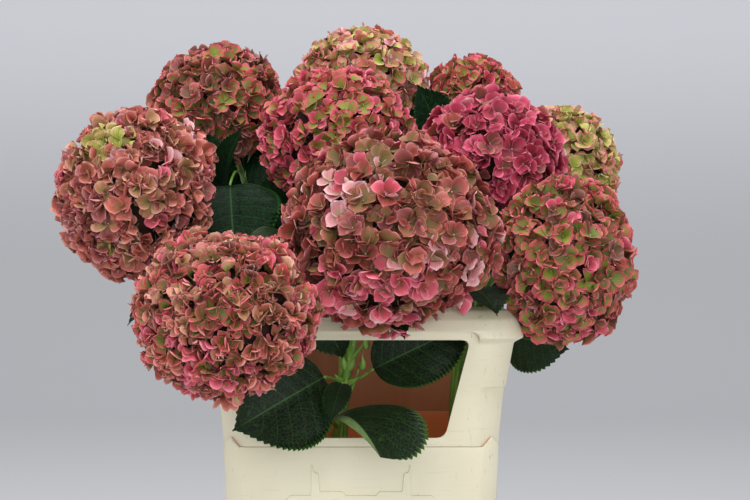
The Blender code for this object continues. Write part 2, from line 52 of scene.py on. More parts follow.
class Wire:  # one socket of a finish; sums, products and powers of wires add Math nodes
    def __init__(self, finish, socket):
        self.finish = finish
        self.socket = socket

    def maths(self, operation, *values):
        return self.finish.node("ShaderNodeMath", {"operation": operation}, values)

    def __add__(self, other):
        return self.maths("ADD", self, other)

    def __sub__(self, other):
        return self.maths("SUBTRACT", self, other)

    def __rsub__(self, other):
        return self.maths("SUBTRACT", other, self)

    def __mul__(self, other):
        return self.maths("MULTIPLY", self, other)

    def __truediv__(self, other):
        return self.maths("DIVIDE", self, other)

    def __pow__(self, other):
        return self.maths("POWER", self, other)

    __radd__ = __add__
    __rmul__ = __mul__

    def size(self):
        return self.maths("ABSOLUTE", self)

    def part(self):
        return self.maths("FRACT", self)

    def wave(self):
        return self.maths("SINE", self)

    def rise(self, low, high):  # 0 below low, 1 above high, smooth between
        settings = {"interpolation_type": "SMOOTHSTEP"}
        return self.finish.node("ShaderNodeMapRange", settings, {0: self, 1: low, 2: high})


class Finish:  # one material being made
    def __init__(self, name, **shaderValues):
        self.material = bpy.data.materials.new(name)
        self.material.use_nodes = True
        self.tree = self.material.node_tree
        self.shader = self.tree.nodes["Principled BSDF"]
        for key, value in shaderValues.items():
            self.shader.inputs[key.replace("_", " ")].default_value = value

    def node(self, kind, settings=None, values=(), output=0):
        made = self.tree.nodes.new(kind)
        for key, value in (settings or {}).items():
            setattr(made, key, value)
        pairs = values.items() if isinstance(values, dict) else enumerate(values)
        for key, value in pairs:
            if isinstance(value, Wire):
                self.tree.links.new(value.socket, made.inputs[key])
            else:
                made.inputs[key].default_value = value
        return Wire(self, made.outputs[output])

    def mix(self, share, first, second):
        return self.node("ShaderNodeMix", {"data_type": "RGBA"}, {0: share, 6: first, 7: second}, 2)

    def place(self):
        return self.node("ShaderNodeTexCoord", output="Object")

    def split(self, vector):
        made = self.node("ShaderNodeSeparateXYZ", values=[vector])
        sockets = made.socket.node.outputs
        return [Wire(self, sockets[k]) for k in range(3)]

    def tile(self, across):  # where a point lies in its own tile of the piece's map, 0..1 both ways
        u, v, _ = self.split(self.node("ShaderNodeUVMap", {"uv_map": "OFBake"}))
        return (u * across).part(), (v * across).part()

    def stretch(self, vector, factors):
        return self.node("ShaderNodeVectorMath", {"operation": "MULTIPLY"}, [vector, factors])

    def noise(self, vector, scale, detail=2.0, roughness=0.5):
        values = {"Vector": vector, "Scale": scale, "Detail": detail, "Roughness": roughness}
        return self.node("ShaderNodeTexNoise", values=values)

    def bump(self, height, distance):
        return self.node("ShaderNodeBump", values={"Height": height, "Distance": distance, "Strength": 1.0})

    def feed(self, **wires):
        for key, wire in wires.items():
            self.tree.links.new(wire.socket, self.shader.inputs[key.replace("_", " ")])
        return self.material


def blend(name, low, high, roughness, scale, detail=2.0, edges=None, stretch=None):
    # one colour turning into another by noise over the piece's own place, smoothed between edges
    made = Finish(name, Roughness=roughness)
    noise = made.noise(made.stretch(made.place(), stretch) if stretch else made.place(), scale, detail)
    return made.feed(Base_Color=made.mix(noise.rise(*edges) if edges else noise, paint(*low), paint(*high)))


def gridFaces(rows, columns, wrap=False):  # quads over rows x columns points; wrap closes each row to a ring
    i, j = np.meshgrid(np.arange(rows - 1), np.arange(columns if wrap else columns - 1), indexing="ij")
    k = (j + 1) % columns
    quads = np.stack([i * columns + j, i * columns + k, (i + 1) * columns + k, (i + 1) * columns + j], -1)
    return quads.reshape(-1, 4)


def manyGrids(count, rows, columns, wrap=False):  # the same quads for count sheets, one after another
    one = gridFaces(rows, columns, wrap)
    starts = np.arange(count) * rows * columns
    return (one[None] + starts[:, None, None]).reshape(-1, 4)


def addPiece(name, points, faces, finishes, slot, nodes=(), tiles=None, faceFinish=None):
    # faces is a list of (n, corners) index arrays; tiles holds each point's place in the map
    mesh = bpy.data.meshes.new(name)
    corners = np.concatenate([f.ravel() for f in faces]).astype(np.int32)
    sizes = np.concatenate([np.full(len(f), f.shape[1]) for f in faces])
    mesh.vertices.add(len(points))
    mesh.vertices.foreach_set("co", np.asarray(points, np.float32).ravel())
    mesh.loops.add(len(corners))
    mesh.loops.foreach_set("vertex_index", corners)
    mesh.polygons.add(len(sizes))
    mesh.polygons.foreach_set("loop_start", (np.cumsum(sizes) - sizes).astype(np.int32))
    mesh.polygons.foreach_set("use_smooth", np.ones(len(sizes), bool))
    for finish in finishes:
        mesh.materials.append(finish)
    if faceFinish is not None:
        mesh.polygons.foreach_set("material_index", np.asarray(faceFinish, np.int32))
    if tiles is not None:
        layer = mesh.uv_layers.new(name="OFBake")
        layer.data.foreach_set("uv", np.asarray(tiles, np.float32)[corners].ravel())
    mesh.update(calc_edges=True)
    mesh.validate()
    piece = bpy.data.objects.new(name, mesh)
    bpy.context.scene.collection.objects.link(piece)
    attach(piece, "root")
    if nodes:
        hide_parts(*nodes)
    return piece


def unit(vectors):
    vectors = np.asarray(vectors, float)
    return vectors / np.linalg.norm(vectors, axis=-1, keepdims=True)


def square(ahead, aside):  # two directions square to ahead and to each other, the first square to aside too
    side = unit(np.cross(ahead, aside))
    return side, np.cross(ahead, side)


def circle(sides):  # angles of a ring's points
    return np.linspace(0, 2 * math.pi, sides, endpoint=False)


def tube(path, radii, sides):  # rings of points cos(angle) side + sin(angle) other round a path (..., n, 3)
    side, other = square(unit(np.gradient(path, axis=-2)), (0.2, 1.0, 0.1))
    angle = circle(sides)[:, None]
    outward = np.cos(angle) * side[..., None, :] + np.sin(angle) * other[..., None, :]
    return path[..., None, :] + outward * np.asarray(radii)[..., None, None]


def bend(a, b, c, t):  # the quadratic curve a (1 - t)^2 + 2 b t (1 - t) + c t^2
    t = np.asarray(t)[:, None]
    return a * (1 - t) ** 2 + b * 2 * t * (1 - t) + c * t * t


def closedRings(points, turned=False):
    # faces of tubes (..., rings, sides, 3) with a cap on each end; turned where the rings run clockwise
    rings, sides = points.shape[-3:-1]
    flat = points.reshape(-1, 3)
    count = len(flat) // (rings * sides)
    walls = manyGrids(count, rings, sides, wrap=True)
    ring = np.arange(sides)[None] + (np.arange(count) * rings * sides)[:, None]
    first, last = ring[:, ::-1], ring + (rings - 1) * sides
    faces = [walls, np.concatenate([first, last])]
    return flat, [part[:, ::-1] for part in faces] if turned else faces


heads = {  # centre, the way the dome faces, and half sizes sideways, upwards and through
    "left": ((-0.2517, -0.050, 0.5987), (-0.75, -0.50, 0.40), (0.098, 0.098, 0.093)),
    "back_left": ((-0.1800, 0.120, 0.7050), (-0.35, -0.42, 0.84), (0.091, 0.090, 0.080)),
    "top": ((-0.0035, 0.155, 0.7390), (-0.05, 0.10, 1.00), (0.087, 0.086, 0.078)),
    "middle": ((-0.0290, -0.010, 0.6650), (-0.15, -0.50, 0.85), (0.092, 0.086, 0.078)),
    "back_right": ((0.1410, 0.215, 0.7260), (0.35, 0.35, 0.85), (0.067, 0.067, 0.061)),
    "middle_right": ((0.1455, -0.065, 0.6400), (0.30, -0.60, 0.75), (0.084, 0.080, 0.072)),
    "right_back": ((0.2440, 0.100, 0.6410), (0.80, 0.05, 0.55), (0.072, 0.077, 0.068)),
    "right": ((0.2145, -0.165, 0.5255), (0.75, -0.62, 0.05), (0.081, 0.096, 0.075)),
    "front": ((0.0298, -0.247, 0.5520), (0.00, -0.92, 0.40), (0.109, 0.105, 0.094)),
    "front_left": ((-0.1320, -0.304, 0.4720), (-0.32, -0.92, -0.18), (0.097, 0.084, 0.080)),
    "rear_left": ((-0.0600, 0.270, 0.6000), (-0.25, 0.85, 0.45), (0.085, 0.083, 0.078)),
    "rear_right": ((0.1150, 0.280, 0.5800), (0.35, 0.88, 0.30), (0.082, 0.080, 0.075)),
}
coreBack = 0.34  # where a head's flat back lies, as a share of its depth
stemGap = 0.0003

tones = {  # heart, body and rim of a sepal
    "dustyRose": ((140, 103, 64), (177, 90, 80), (203, 109, 98)),
    "deepRose": ((106, 76, 40), (149, 65, 56), (184, 82, 74)),
    "brightRose": ((150, 82, 66), (204, 78, 96), (230, 116, 136)),
    "mauve": ((121, 82, 60), (148, 73, 69), (181, 99, 98)),
    "khaki": ((113, 99, 46), (131, 92, 53), (174, 90, 73)),
    "olive": ((105, 103, 47), (125, 103, 56), (160, 107, 75)),
    "palePink": ((178, 150, 118), (212, 140, 142), (232, 178, 182)),
    "salmon": ((156, 122, 73), (195, 107, 91), (216, 130, 115)),
    "tan": ((142, 132, 73), (172, 128, 87), (201, 141, 115)),
    "creamCoral": ((156, 174, 88), (204, 178, 122), (226, 136, 132)),
    "coralLime": ((128, 152, 50), (178, 116, 80), (222, 82, 98)),
    "limeHeart": ((120, 152, 44), (146, 136, 58), (216, 80, 100)),
    "oliveRed": ((106, 128, 46), (126, 120, 58), (206, 74, 84)),
    "lime": ((146, 170, 60), (181, 185, 89), (209, 183, 118)),
    "limePink": ((152, 174, 66), (196, 180, 100), (224, 130, 128)),
    "crimson": ((150, 84, 60), (206, 66, 90), (228, 98, 124)),
    "magenta": ((114, 36, 46), (160, 38, 62), (200, 72, 100)),
    "brightMagenta": ((150, 50, 64), (198, 60, 94), (232, 110, 140)),
    "brownPink": ((96, 84, 49), (121, 76, 62), (158, 92, 84)),
}

petalLook = {
    "roughness": 0.60,
    "sheen": 0.02,
    "sheenRoughness": 0.35,
    "sheenTint": (240, 205, 195),
    "heartEdge": (0.16, 0.62),  # where the heart gives way to the body, as a share of the sepal's length
    "rimEdge": (0.64, 0.97),
    "margin": 0.93,  # a thin pale line runs round the sepal outside this: partly its paler underside showing at the edge, partly a painted highlight of light through the thin edge
    "marginPaleAndHighlight": 0.55,
    "dull": 0.55,  # the veins' share of the heart's colour, and the pale line's of the rim's
    "paleExtra": (114, 104, 98),
    "veins": 9,
    "veinDark": 0.28,
    "veinHeight": 0.00012,
    "veinFade": 0.7,  # towards the tip
    "veinSharpness": 6,
    "reach": (0.92, 0.30),  # of the heart: shares of the length and of the distance aside, squared
    "roundness": 4,  # of the line along which the rim begins: 2 for an ellipse
    "inset": 0.04,  # empty border of a tile in the map
    "tilesAcross": 3,
}


def petalFinish(name, heart, body, rim):
    look = petalLook
    made = Finish(
        "petal_" + name,
        Roughness=look["roughness"],
        Sheen_Weight=look["sheen"],
        Sheen_Roughness=look["sheenRoughness"],
        Sheen_Tint=paint(*look["sheenTint"]),
    )
    s, t = made.tile(look["tilesAcross"])
    across = ((s - look["inset"]) / (1 - 2 * look["inset"]) * 2 - 1).size()  # 0 on the midrib, 1 at the side
    along = (t - look["inset"]) / (1 - 2 * look["inset"])
    reach = along * look["reach"][0] + across * across * look["reach"][1]
    colour = made.mix(reach.rise(*look["heartEdge"]), paint(*heart), paint(*body))
    power = look["roundness"]
    outward = (along**power + across**power) ** (1 / power)
    colour = made.mix(outward.rise(*look["rimEdge"]), colour, paint(*rim))
    fan = (s * (look["veins"] * math.pi)).wave().size() ** look["veinSharpness"]
    dark = paint(*[c * look["dull"] for c in heart])
    colour = made.mix(fan * (1 - along * look["veinFade"]) * look["veinDark"], colour, dark)
    # The pale margin: partly the paler underside at the edge, partly painted highlight of light through the
    # thin edge.
    pale = paint(*[c * look["dull"] + extra for c, extra in zip(rim, look["paleExtra"])])
    colour = made.mix(outward.rise(look["margin"], 1.0) * look["marginPaleAndHighlight"], colour, pale)
    return made.feed(Base_Color=colour, Normal=made.bump(fan, look["veinHeight"]))


petalFinishes = {name: petalFinish(name, *colours) for name, colours in tones.items()}

plainBloom = {  # what most heads share
    "lift": (0.2, 1.1),  # how far a sepal stands up from its floret's plane
    "curl": (-0.9, 0.5),  # along it
    "cup": (-0.1, 0.7),  # across it
    "fold": (0.0, 0.3),
    "ruffle": 0.10,  # of its edge
    "tilt": 0.70,  # of the florets
    "dents": [],  # where the florets lie deeper: towards, how wide, and how deep over the head's size
    "patches": [],  # where a tone gathers: towards, how wide, tone, share of the florets there
}
blooms = {  # florets outside and in the layer below, how far they stand out of the CAD head over its size
    "left": dict(
        florets=(290, 125), proud=0.085, length=0.0170, lift=(0.25, 1.25), curl=(-1.3, 0.9), cup=(0.0, 1.0),
        fold=(0.0, 0.6), ruffle=0.17,
        tones=dict(dustyRose=34, salmon=20, mauve=14, tan=12, khaki=8, palePink=7, brightRose=5),
        patches=[
            ((-0.35, -0.75, 0.75), 0.33, "lime", 1.0), ((-0.3, -0.65, -0.75), 0.16, "lime", 1.0),
            ((0.3, -1.0, 0.2), 0.35, "tan", 0.5), ((-0.7, -0.7, -0.3), 0.5, "mauve", 0.4),
        ],
    ),
    "back_left": dict(
        florets=(225, 95), proud=0.075, length=0.0166, curl=(-1.0, 0.6), cup=(0.0, 0.8), tilt=0.73,
        tones=dict(oliveRed=40, limeHeart=8, coralLime=8, brownPink=16, mauve=8, khaki=12, dustyRose=8),
        patches=[((-0.5, -0.6, 0.6), 0.50, "khaki", 0.4), ((0.2, -0.9, -0.35), 0.45, "brownPink", 0.6)],
    ),
    "top": dict(
        florets=(225, 95), proud=0.050, length=0.0150, lift=(0.25, 1.1), curl=(-0.9, 0.6), ruffle=0.09,
        tilt=0.66,
        tones=dict(creamCoral=34, limeHeart=18, lime=18, limePink=12, palePink=8, salmon=10),
    ),
    "middle": dict(
        florets=(240, 100), proud=0.080, length=0.0146, curl=(-1.0, 0.5), ruffle=0.09, tilt=0.68,
        tones=dict(crimson=22, coralLime=30, limeHeart=24, brightRose=14, oliveRed=10),
        patches=[((0.05, -0.85, 0.6), 0.50, "limeHeart", 0.55), ((-0.75, -0.65, 0.0), 0.50, "crimson", 0.6)],
    ),
    "back_right": dict(
        florets=(150, 64), proud=0.030, length=0.0148, ruffle=0.08,
        tones=dict(limeHeart=34, crimson=10, oliveRed=42, coralLime=14),
    ),
    "middle_right": dict(
        florets=(185, 80), proud=0.080, length=0.0172, lift=(0.05, 0.9), curl=(-0.8, 0.5), cup=(-0.05, 0.6),
        fold=(0.0, 0.15), ruffle=0.06,
        tones=dict(magenta=46, brightMagenta=42, mauve=6, palePink=3, deepRose=3),
    ),
    "right_back": dict(
        florets=(170, 72), proud=0.060, length=0.0145, curl=(-0.9, 0.6), tilt=0.68,
        tones=dict(lime=48, limePink=28, creamCoral=18, limeHeart=6),
    ),
    "right": dict(
        florets=(235, 96), proud=0.060, length=0.0156, curl=(-1.1, 0.6), fold=(0.0, 0.2), ruffle=0.11,
        tilt=0.73,
        tones=dict(oliveRed=52, limeHeart=16, coralLime=8, brightRose=4, khaki=12, brownPink=8),
        patches=[
            ((0.0, -1.0, 0.1), 0.60, "limeHeart", 0.40), ((0.2, -0.55, -0.85), 0.45, "brightRose", 0.4),
            ((-0.3, -0.5, 0.85), 0.40, "crimson", 0.3),
        ],
    ),
    "front": dict(
        florets=(300, 130), proud=0.085, length=0.0174, lift=(0.05, 0.95), curl=(-0.8, 0.5), cup=(0.0, 0.7),
        fold=(0.0, 0.15), ruffle=0.06, dents=[((0.50, -0.35, -0.80), 0.58, 0.24)],
        tones=dict(deepRose=36, dustyRose=6, brightRose=10, mauve=14, khaki=22, olive=8, palePink=4),
        patches=[
            ((-0.35, -0.75, 0.65), 0.28, "palePink", 0.5), ((0.15, -1.0, 0.35), 0.45, "khaki", 0.45),
            ((-0.15, -0.8, -0.75), 0.60, "brightRose", 0.55), ((0.75, -0.7, -0.3), 0.40, "palePink", 0.15),
        ],
    ),
    "front_left": dict(
        florets=(320, 140), proud=0.070, length=0.0144, lift=(0.3, 1.25), curl=(-1.2, 0.8), cup=(0.1, 1.1),
        fold=(0.0, 0.7), ruffle=0.15, tilt=0.73,
        tones=dict(
            salmon=22, oliveRed=22, brightRose=7, tan=14, khaki=12, coralLime=14, creamCoral=5, brownPink=4
        ),
        patches=[
            ((-0.35, -0.85, 0.5), 0.45, "creamCoral", 0.35), ((0.1, -1.0, 0.0), 0.40, "oliveRed", 0.45),
            ((-0.1, -0.7, -0.75), 0.55, "brightRose", 0.38), ((-0.8, -0.6, -0.1), 0.40, "brightRose", 0.22),
        ],
    ),
    "rear_left": dict(
        florets=(195, 82), proud=0.050, length=0.0165, lift=(0.1, 1.0), cup=(0.0, 0.7), ruffle=0.08,
        tones=dict(dustyRose=34, salmon=24, khaki=14, mauve=16, brightRose=12),
    ),
    "rear_right": dict(
        florets=(190, 80), proud=0.050, length=0.0165, lift=(0.1, 1.0), cup=(0.0, 0.7), ruffle=0.08,
        tones=dict(oliveRed=34, salmon=24, coralLime=20, dustyRose=22),
    ),
}
blooms = {name: {**plainBloom, **own} for name, own in blooms.items()}

headShape = {
    "domeEdge": math.radians(128),  # how far round from the front the florets go
    "turnJitter": 0.22,
    "heightJitter": 0.012,
    "lowest": -0.6,  # how far back a floret may sit, over the head's size
    "tiltShare": 0.58,
    "reachShare": 1.1,  # how far a floret's longest sepals stand out, over length sin(lift)
    "seatDepth": 0.12,  # the florets sit within this much of the outermost
    "underSeat": (0.14, 0.08),  # and the layer below lies this much deeper
    "underLift": 0.45,
    "sepals": 4,
    "rows": 7,  # points along and across a sepal
    "columns": 5,
    "tipward": 1.8,  # above 1 the rows are closer towards the tip
    "widest": 0.50,
    "claw": 0.20,  # width at the claw over the widest
    "opening": 0.8,  # below 1 it widens sooner
    "point": 0.18,  # width at the tip over the widest
    "blunt": 2.35,  # 2 would close it as an ellipse
    "tipRound": 0.10,
    "ruffleWaves": (5, 2.4),  # along and across
    "ruffleRise": 1.5,  # above 1 only the edge ruffles
    "narrowing": (0.12, 0.2),  # how much narrower a cup and a fold make it
    "width": (0.50, 0.62),  # half width over length
    "spread": 0.12,  # of the angles between a floret's sepals
    "liftSpread": 0.18,
    "floretSizes": (0.84, 1.12),
    "sepalSizes": (0.90, 1.06),
    "pairStep": 0.0006,  # every other sepal lies this much higher
    "clawOut": 0.0008,
    "twist": (0.12, 0.16),  # mean and spread of a sepal's turn about its own midline
    "strayTone": 0.30,  # share of the sepals that differ from their floret
    "stalkBend": (0.45, 0.012),  # the middle of a floret's stalk: share of the way, and how far forward
    "stalkRadii": (0.0011, 0.0007),
    "stalkSides": 4,
}
coreShape = {
    "rings": 14,
    "sides": 22,
    "pole": 0.1,  # the angle from the axis at which the rings begin and end
    "lumps": (0.05, 5, 6),  # how high, and how many from pole to pole and round
    "depth": 0.19,  # how far inside the outermost florets, over the head's size
    "back": 0.9,  # where the flat back lies, over the stem's end
}
budShape = {"rings": 3, "sides": 5, "pole": 0.5, "radius": 0.0013, "rise": 1.2}
aside = (0.31, 0.93, 0.17)  # a direction that no floret faces
sepalRows = 1 - (1 - np.linspace(0, 1, headShape["rows"])) ** headShape["tipward"]


def headAxes(facing):  # rows: sideways = up x out, upwards = out x sideways, outwards
    out = unit(facing)
    side = unit(np.cross((0, 0, 1), out))
    return np.array([side, np.cross(out, side), out])


def neckOf(name):  # where a stem meets its head's flat back
    centre, facing, half = heads[name]
    return np.array(centre) - unit(facing) * (coreBack * half[2] + stemGap)


def sepalSheets(seat, axis, ray, length, halfWidth, lift, curl, cup, fold, ruffle, twist, phase):
    # The midline leaves the claw at angle lift above the floret's plane and turns by curl along it:
    # s cos(lift + curl s / 2) sinc(curl s / 2), and the same with sin. The sheet is as wide as
    # claw + (1 - claw) sin(pi s / 2 widest)^opening up to the widest and (1 - x^blunt)^(1 / blunt) beyond,
    # less what its cup and fold take. It rises by (cup v^2 + fold |v|) width and by a ruffle
    # s |v|^rise sin(waves s + waves v + phase), and it is all turned about the midline by twist.
    shape = headShape
    u = sepalRows[None, :, None]
    v = np.linspace(-1, 1, shape["columns"])[None, None, :]
    perSepal = (length, halfWidth, lift, curl, cup, fold, twist, phase)
    length, halfWidth, lift, curl, cup, fold, twist, phase = (value[:, None, None] for value in perSepal)
    s = u * (1 - shape["tipRound"] * v * v * u)
    chord = s * np.sinc(curl * s / (2 * math.pi)) * length
    along = chord * np.cos(lift + curl * s / 2)
    risen = chord * np.sin(lift + curl * s / 2)
    angle = lift + curl * s
    widest, claw = shape["widest"], shape["claw"]
    opening = claw + (1 - claw) * np.sin(math.pi * np.minimum(u / widest, 1) / 2) ** shape["opening"]
    blunt = shape["blunt"]
    closing = (1 - np.clip((u - widest) / (1 - widest), 0, 1) ** blunt) ** (1 / blunt)
    width = halfWidth * np.maximum(np.where(u < widest, opening, closing), shape["point"])
    waves = shape["ruffleWaves"][0] * u + shape["ruffleWaves"][1] * v
    edge = ruffle * length * u * np.abs(v) ** shape["ruffleRise"] * np.sin(waves + phase)
    height = (cup * v * v + fold * np.abs(v)) * width + edge
    cupped, folded = shape["narrowing"]
    across = width * v * (1 - cupped * np.abs(cup) * v * v - folded * fold)
    cos, sin = np.cos(twist), np.sin(twist)
    across, height = across * cos - height * sin, across * sin + height * cos
    ray, axis = ray[:, None, None, :], axis[:, None, None, :]
    side = np.cross(axis, ray)
    normal = np.cos(angle)[..., None] * axis - np.sin(angle)[..., None] * ray
    points = seat[:, None, None, :] + along[..., None] * ray + risen[..., None] * axis
    return points + across[..., None] * side + height[..., None] * normal


def floretSeats(count, half, seatRange, bloom, draw):
    # golden spiral over the dome: height = 1 - (1 - cos edge)(i + 0.5) / count, turn = 2.4 i, both jittered
    shape = headShape
    i = np.arange(count)
    height = 1 - (1 - math.cos(shape["domeEdge"])) * (i + 0.5) / count
    turn = i * math.pi * (3 - math.sqrt(5)) + draw.uniform(-shape["turnJitter"], shape["turnJitter"], count)
    height = np.clip(height + draw.normal(0, shape["heightJitter"], count), shape["lowest"], 0.999)
    ring = np.sqrt(1 - height**2)
    direction = np.stack([ring * np.cos(turn), ring * np.sin(turn), height], -1)
    seat = direction * half * draw.uniform(*seatRange, count)[:, None]
    leaning = draw.normal(0, bloom["tilt"], (count, 3)) * shape["tiltShare"]
    return direction, seat, unit(unit(direction / half) + leaning)


def outermost(name):  # the share of a head's size at which its outer florets sit
    shape, bloom = headShape, blooms[name]
    longest = bloom["length"] * shape["reachShare"] * math.sin(min(bloom["lift"][1], math.pi / 2))
    return 1 + bloom["proud"] - longest / np.mean(heads[name][2])


stalkPaths, budPlaces = [], []  # filled by each head


def floretTones(name, direction, draw):  # names of the head's tones, their shares and the tone of each floret
    bloom, axes = blooms[name], headAxes(heads[name][1])
    names = list(bloom["tones"]) + sorted({patch[2] for patch in bloom["patches"]} - set(bloom["tones"]))
    share = np.array(list(bloom["tones"].values()), float)
    share = share / share.sum()
    tone = draw.choice(len(share), len(direction), p=share)
    for aim, width, patchTone, patchShare in bloom["patches"]:
        near = direction @ (axes @ unit(aim)) > math.cos(width)
        tone[near & (draw.uniform(0, 1, len(tone)) < patchShare)] = names.index(patchTone)
    return names, share, tone


def sepalTiles(tone):  # each sepal in its tone's tile of the map
    inset, tilesAcross = petalLook["inset"], petalLook["tilesAcross"]
    across, along = np.meshgrid(np.linspace(0, 1, headShape["columns"]), sepalRows)
    own = inset + np.stack([across, along], -1) * (1 - 2 * inset)
    corner = np.stack([tone % tilesAcross, tone // tilesAcross], -1)
    return ((corner[:, None, None, :] + own) / tilesAcross).reshape(-1, 2)


def growHead(name, seed):
    shape, bloom = headShape, blooms[name]
    centre, facing, half = heads[name]
    axes, half = headAxes(facing), np.array(half)
    draw = np.random.default_rng(seed)
    top = outermost(name)
    outer = floretSeats(bloom["florets"][0], half, (top - shape["seatDepth"], top), bloom, draw)
    under = floretSeats(bloom["florets"][1], half, top - np.array(shape["underSeat"]), bloom, draw)
    direction, seat, axis = (np.concatenate(pair) for pair in zip(outer, under))
    count = len(seat)
    isOuter = np.arange(count) < bloom["florets"][0]
    names, share, tone = floretTones(name, direction, draw)
    for aim, width, depth in bloom["dents"]:
        away = np.arccos(np.clip(direction @ (axes @ unit(aim)), -1, 1)) / width
        seat = seat * (1 - depth * np.clip(1 - away**2, 0, 1))[:, None]

    sepals = shape["sepals"]
    n = count * sepals
    floret = np.repeat(np.arange(count), sepals)
    spin = draw.uniform(0, 2 * math.pi, count)[floret]
    cross, other = square(axis, aside)
    turn = spin + np.tile(np.arange(sepals), count) * 2 * math.pi / sepals
    turn = turn + draw.normal(0, shape["spread"], n)
    ray = np.cos(turn)[:, None] * cross[floret] + np.sin(turn)[:, None] * other[floret]
    stray = draw.uniform(0, 1, n) < shape["strayTone"]
    sepalTone = np.where(stray, draw.choice(len(share), n, p=share), tone[floret])
    lift = draw.uniform(*bloom["lift"], count) * np.where(isOuter, 1.0, shape["underLift"])
    lift = lift[floret] + draw.normal(0, shape["liftSpread"], n)
    length = bloom["length"] * draw.uniform(*shape["floretSizes"], count)[floret]
    length = length * draw.uniform(*shape["sepalSizes"], n)
    step = np.tile([0.0, shape["pairStep"]], n // 2)[:, None]
    sheets = sepalSheets(
        seat[floret] + axis[floret] * step + ray * shape["clawOut"],
        axis[floret],
        ray,
        length,
        length * draw.uniform(*shape["width"], n),
        lift,
        draw.uniform(*bloom["curl"], n),
        draw.uniform(*bloom["cup"], n),
        draw.uniform(*bloom["fold"], n),
        bloom["ruffle"],
        draw.normal(*shape["twist"], n),
        draw.uniform(0, 2 * math.pi, n),
    )
    rows, columns = shape["rows"], shape["columns"]
    addPiece(
        "petals_" + name,
        sheets.reshape(-1, 3) @ axes + np.array(centre),
        [manyGrids(n, rows, columns)[:, ::-1]],
        [petalFinishes[toneName] for toneName in names],
        "petals_" + name,
        nodes=["head_" + name],
        tiles=sepalTiles(sepalTone),
        faceFinish=np.repeat(sepalTone, (rows - 1) * (columns - 1)),
    )
    tips = seat[isOuter] @ axes + np.array(centre)
    towards, forward = shape["stalkBend"]
    neck = neckOf(name)
    middle = neck + (tips - neck) * towards + axes[2] * forward
    stalkPaths.append(bend(neck, middle[:, None], tips[:, None], np.linspace(0, 1, 4)))
    budPlaces.append((tips, axis[isOuter] @ axes))


for seed, name in enumerate(heads, start=11):
    growHead(name, seed)
print("flower heads grown:", len(heads))


# The dark ball in each head paints the shade deep among its inner stalks, over their brown-green.
def paintedShadeCores():  # a ball inside each head, 1 + high sin(5 polar) sin(6 turn) in radius, its back flattened
    shape = coreShape
    polar = np.linspace(shape["pole"], math.pi - shape["pole"], shape["rings"])[:, None]
    turn = circle(shape["sides"])[None, :]
    high, along, around = shape["lumps"]
    ring = np.sin(polar)
    ball = np.stack([ring * np.cos(turn), ring * np.sin(turn), np.cos(polar) + 0 * turn], -1)
    ball = ball * (1 + high * np.sin(along * polar) * np.sin(around * turn))[..., None]
    points = []
    for name, (centre, facing, half) in heads.items():
        local = ball * np.array(half) * (outermost(name) - shape["depth"])
        local[..., 2] = np.maximum(local[..., 2], -coreBack * half[2] * shape["back"])
        points.append(local @ headAxes(facing) + np.array(centre))
    return closedRings(np.array(points), turned=True)


# Painted shade: the inner stalks' brown-green, darkened, patchy by noise.
paintedShadeCore = blend("paintedShadeCore", (38, 30, 18), (74, 38, 32), 0.9, 90.0, 3.0, (0.35, 0.65))
addPiece("paintedShadeCores", *paintedShadeCores(), [paintedShadeCore], "stem_green")

floretStalk = blend("floretStalk", (110, 122, 62), (150, 118, 84), 0.6, 60.0)
stalks = np.concatenate(stalkPaths)
stalkRadii = np.broadcast_to(np.linspace(*headShape["stalkRadii"], stalks.shape[1]), stalks.shape[:2])
stalkSkin = closedRings(tube(stalks, stalkRadii, headShape["stalkSides"]))
addPiece("floretStalks", *stalkSkin, [floretStalk], "stem_green")


def floretBuds():  # a small bead in each floret: rings radius sin(polar) wide at radius (rise - cos(polar))
    shape = budShape
    seats, axis = (np.concatenate(part) for part in zip(*budPlaces))
    cross, other = square(axis, aside)
    polar = np.linspace(shape["pole"], math.pi - shape["pole"], shape["rings"])[None, :, None, None]
    turn = circle(shape["sides"])[None, None, :, None]
    cross, other, axis = (way[:, None, None, :] for way in (cross, other, axis))
    outward = np.sin(polar) * (np.cos(turn) * cross + np.sin(turn) * other)
    bead = outward + (shape["rise"] - np.cos(polar)) * axis
    return closedRings(seats[:, None, None, :] + shape["radius"] * bead)


floretBud = blend("floretBud", (150, 160, 96), (214, 150, 140), 0.5, 40.0)
addPiece("floretBuds", *floretBuds(), [floretBud], "stem_green")
print("stalks and buds added")


stems = {  # foot on the bucket's floor, and the point where the stem passes the collar's mouth
    "left": ((-0.078, -0.018), (-0.131, -0.030, 0.480)),
    "back_left": ((-0.066, 0.051), (-0.112, 0.085, 0.480)),
    "top": ((-0.032, 0.048), (-0.016, 0.080, 0.480)),
    "middle": ((-0.034, -0.004), (-0.022, -0.008, 0.480)),
    "back_right": ((0.090, 0.082), (0.122, 0.120, 0.480)),
    "middle_right": ((0.108, -0.028), (0.124, -0.046, 0.480)),
    "right_back": ((0.096, 0.036), (0.131, 0.060, 0.480)),
    "right": ((0.118, -0.074), (0.131, -0.112, 0.484)),
    "front": ((-0.076, -0.090), (-0.001, -0.158, 0.470)),
    "front_left": ((-0.066, -0.116), (-0.110, -0.180, 0.492)),
    "rear_left": ((-0.078, 0.105), (-0.106, 0.166, 0.480)),
    "rear_right": ((0.088, 0.118), (0.116, 0.172, 0.482)),
}
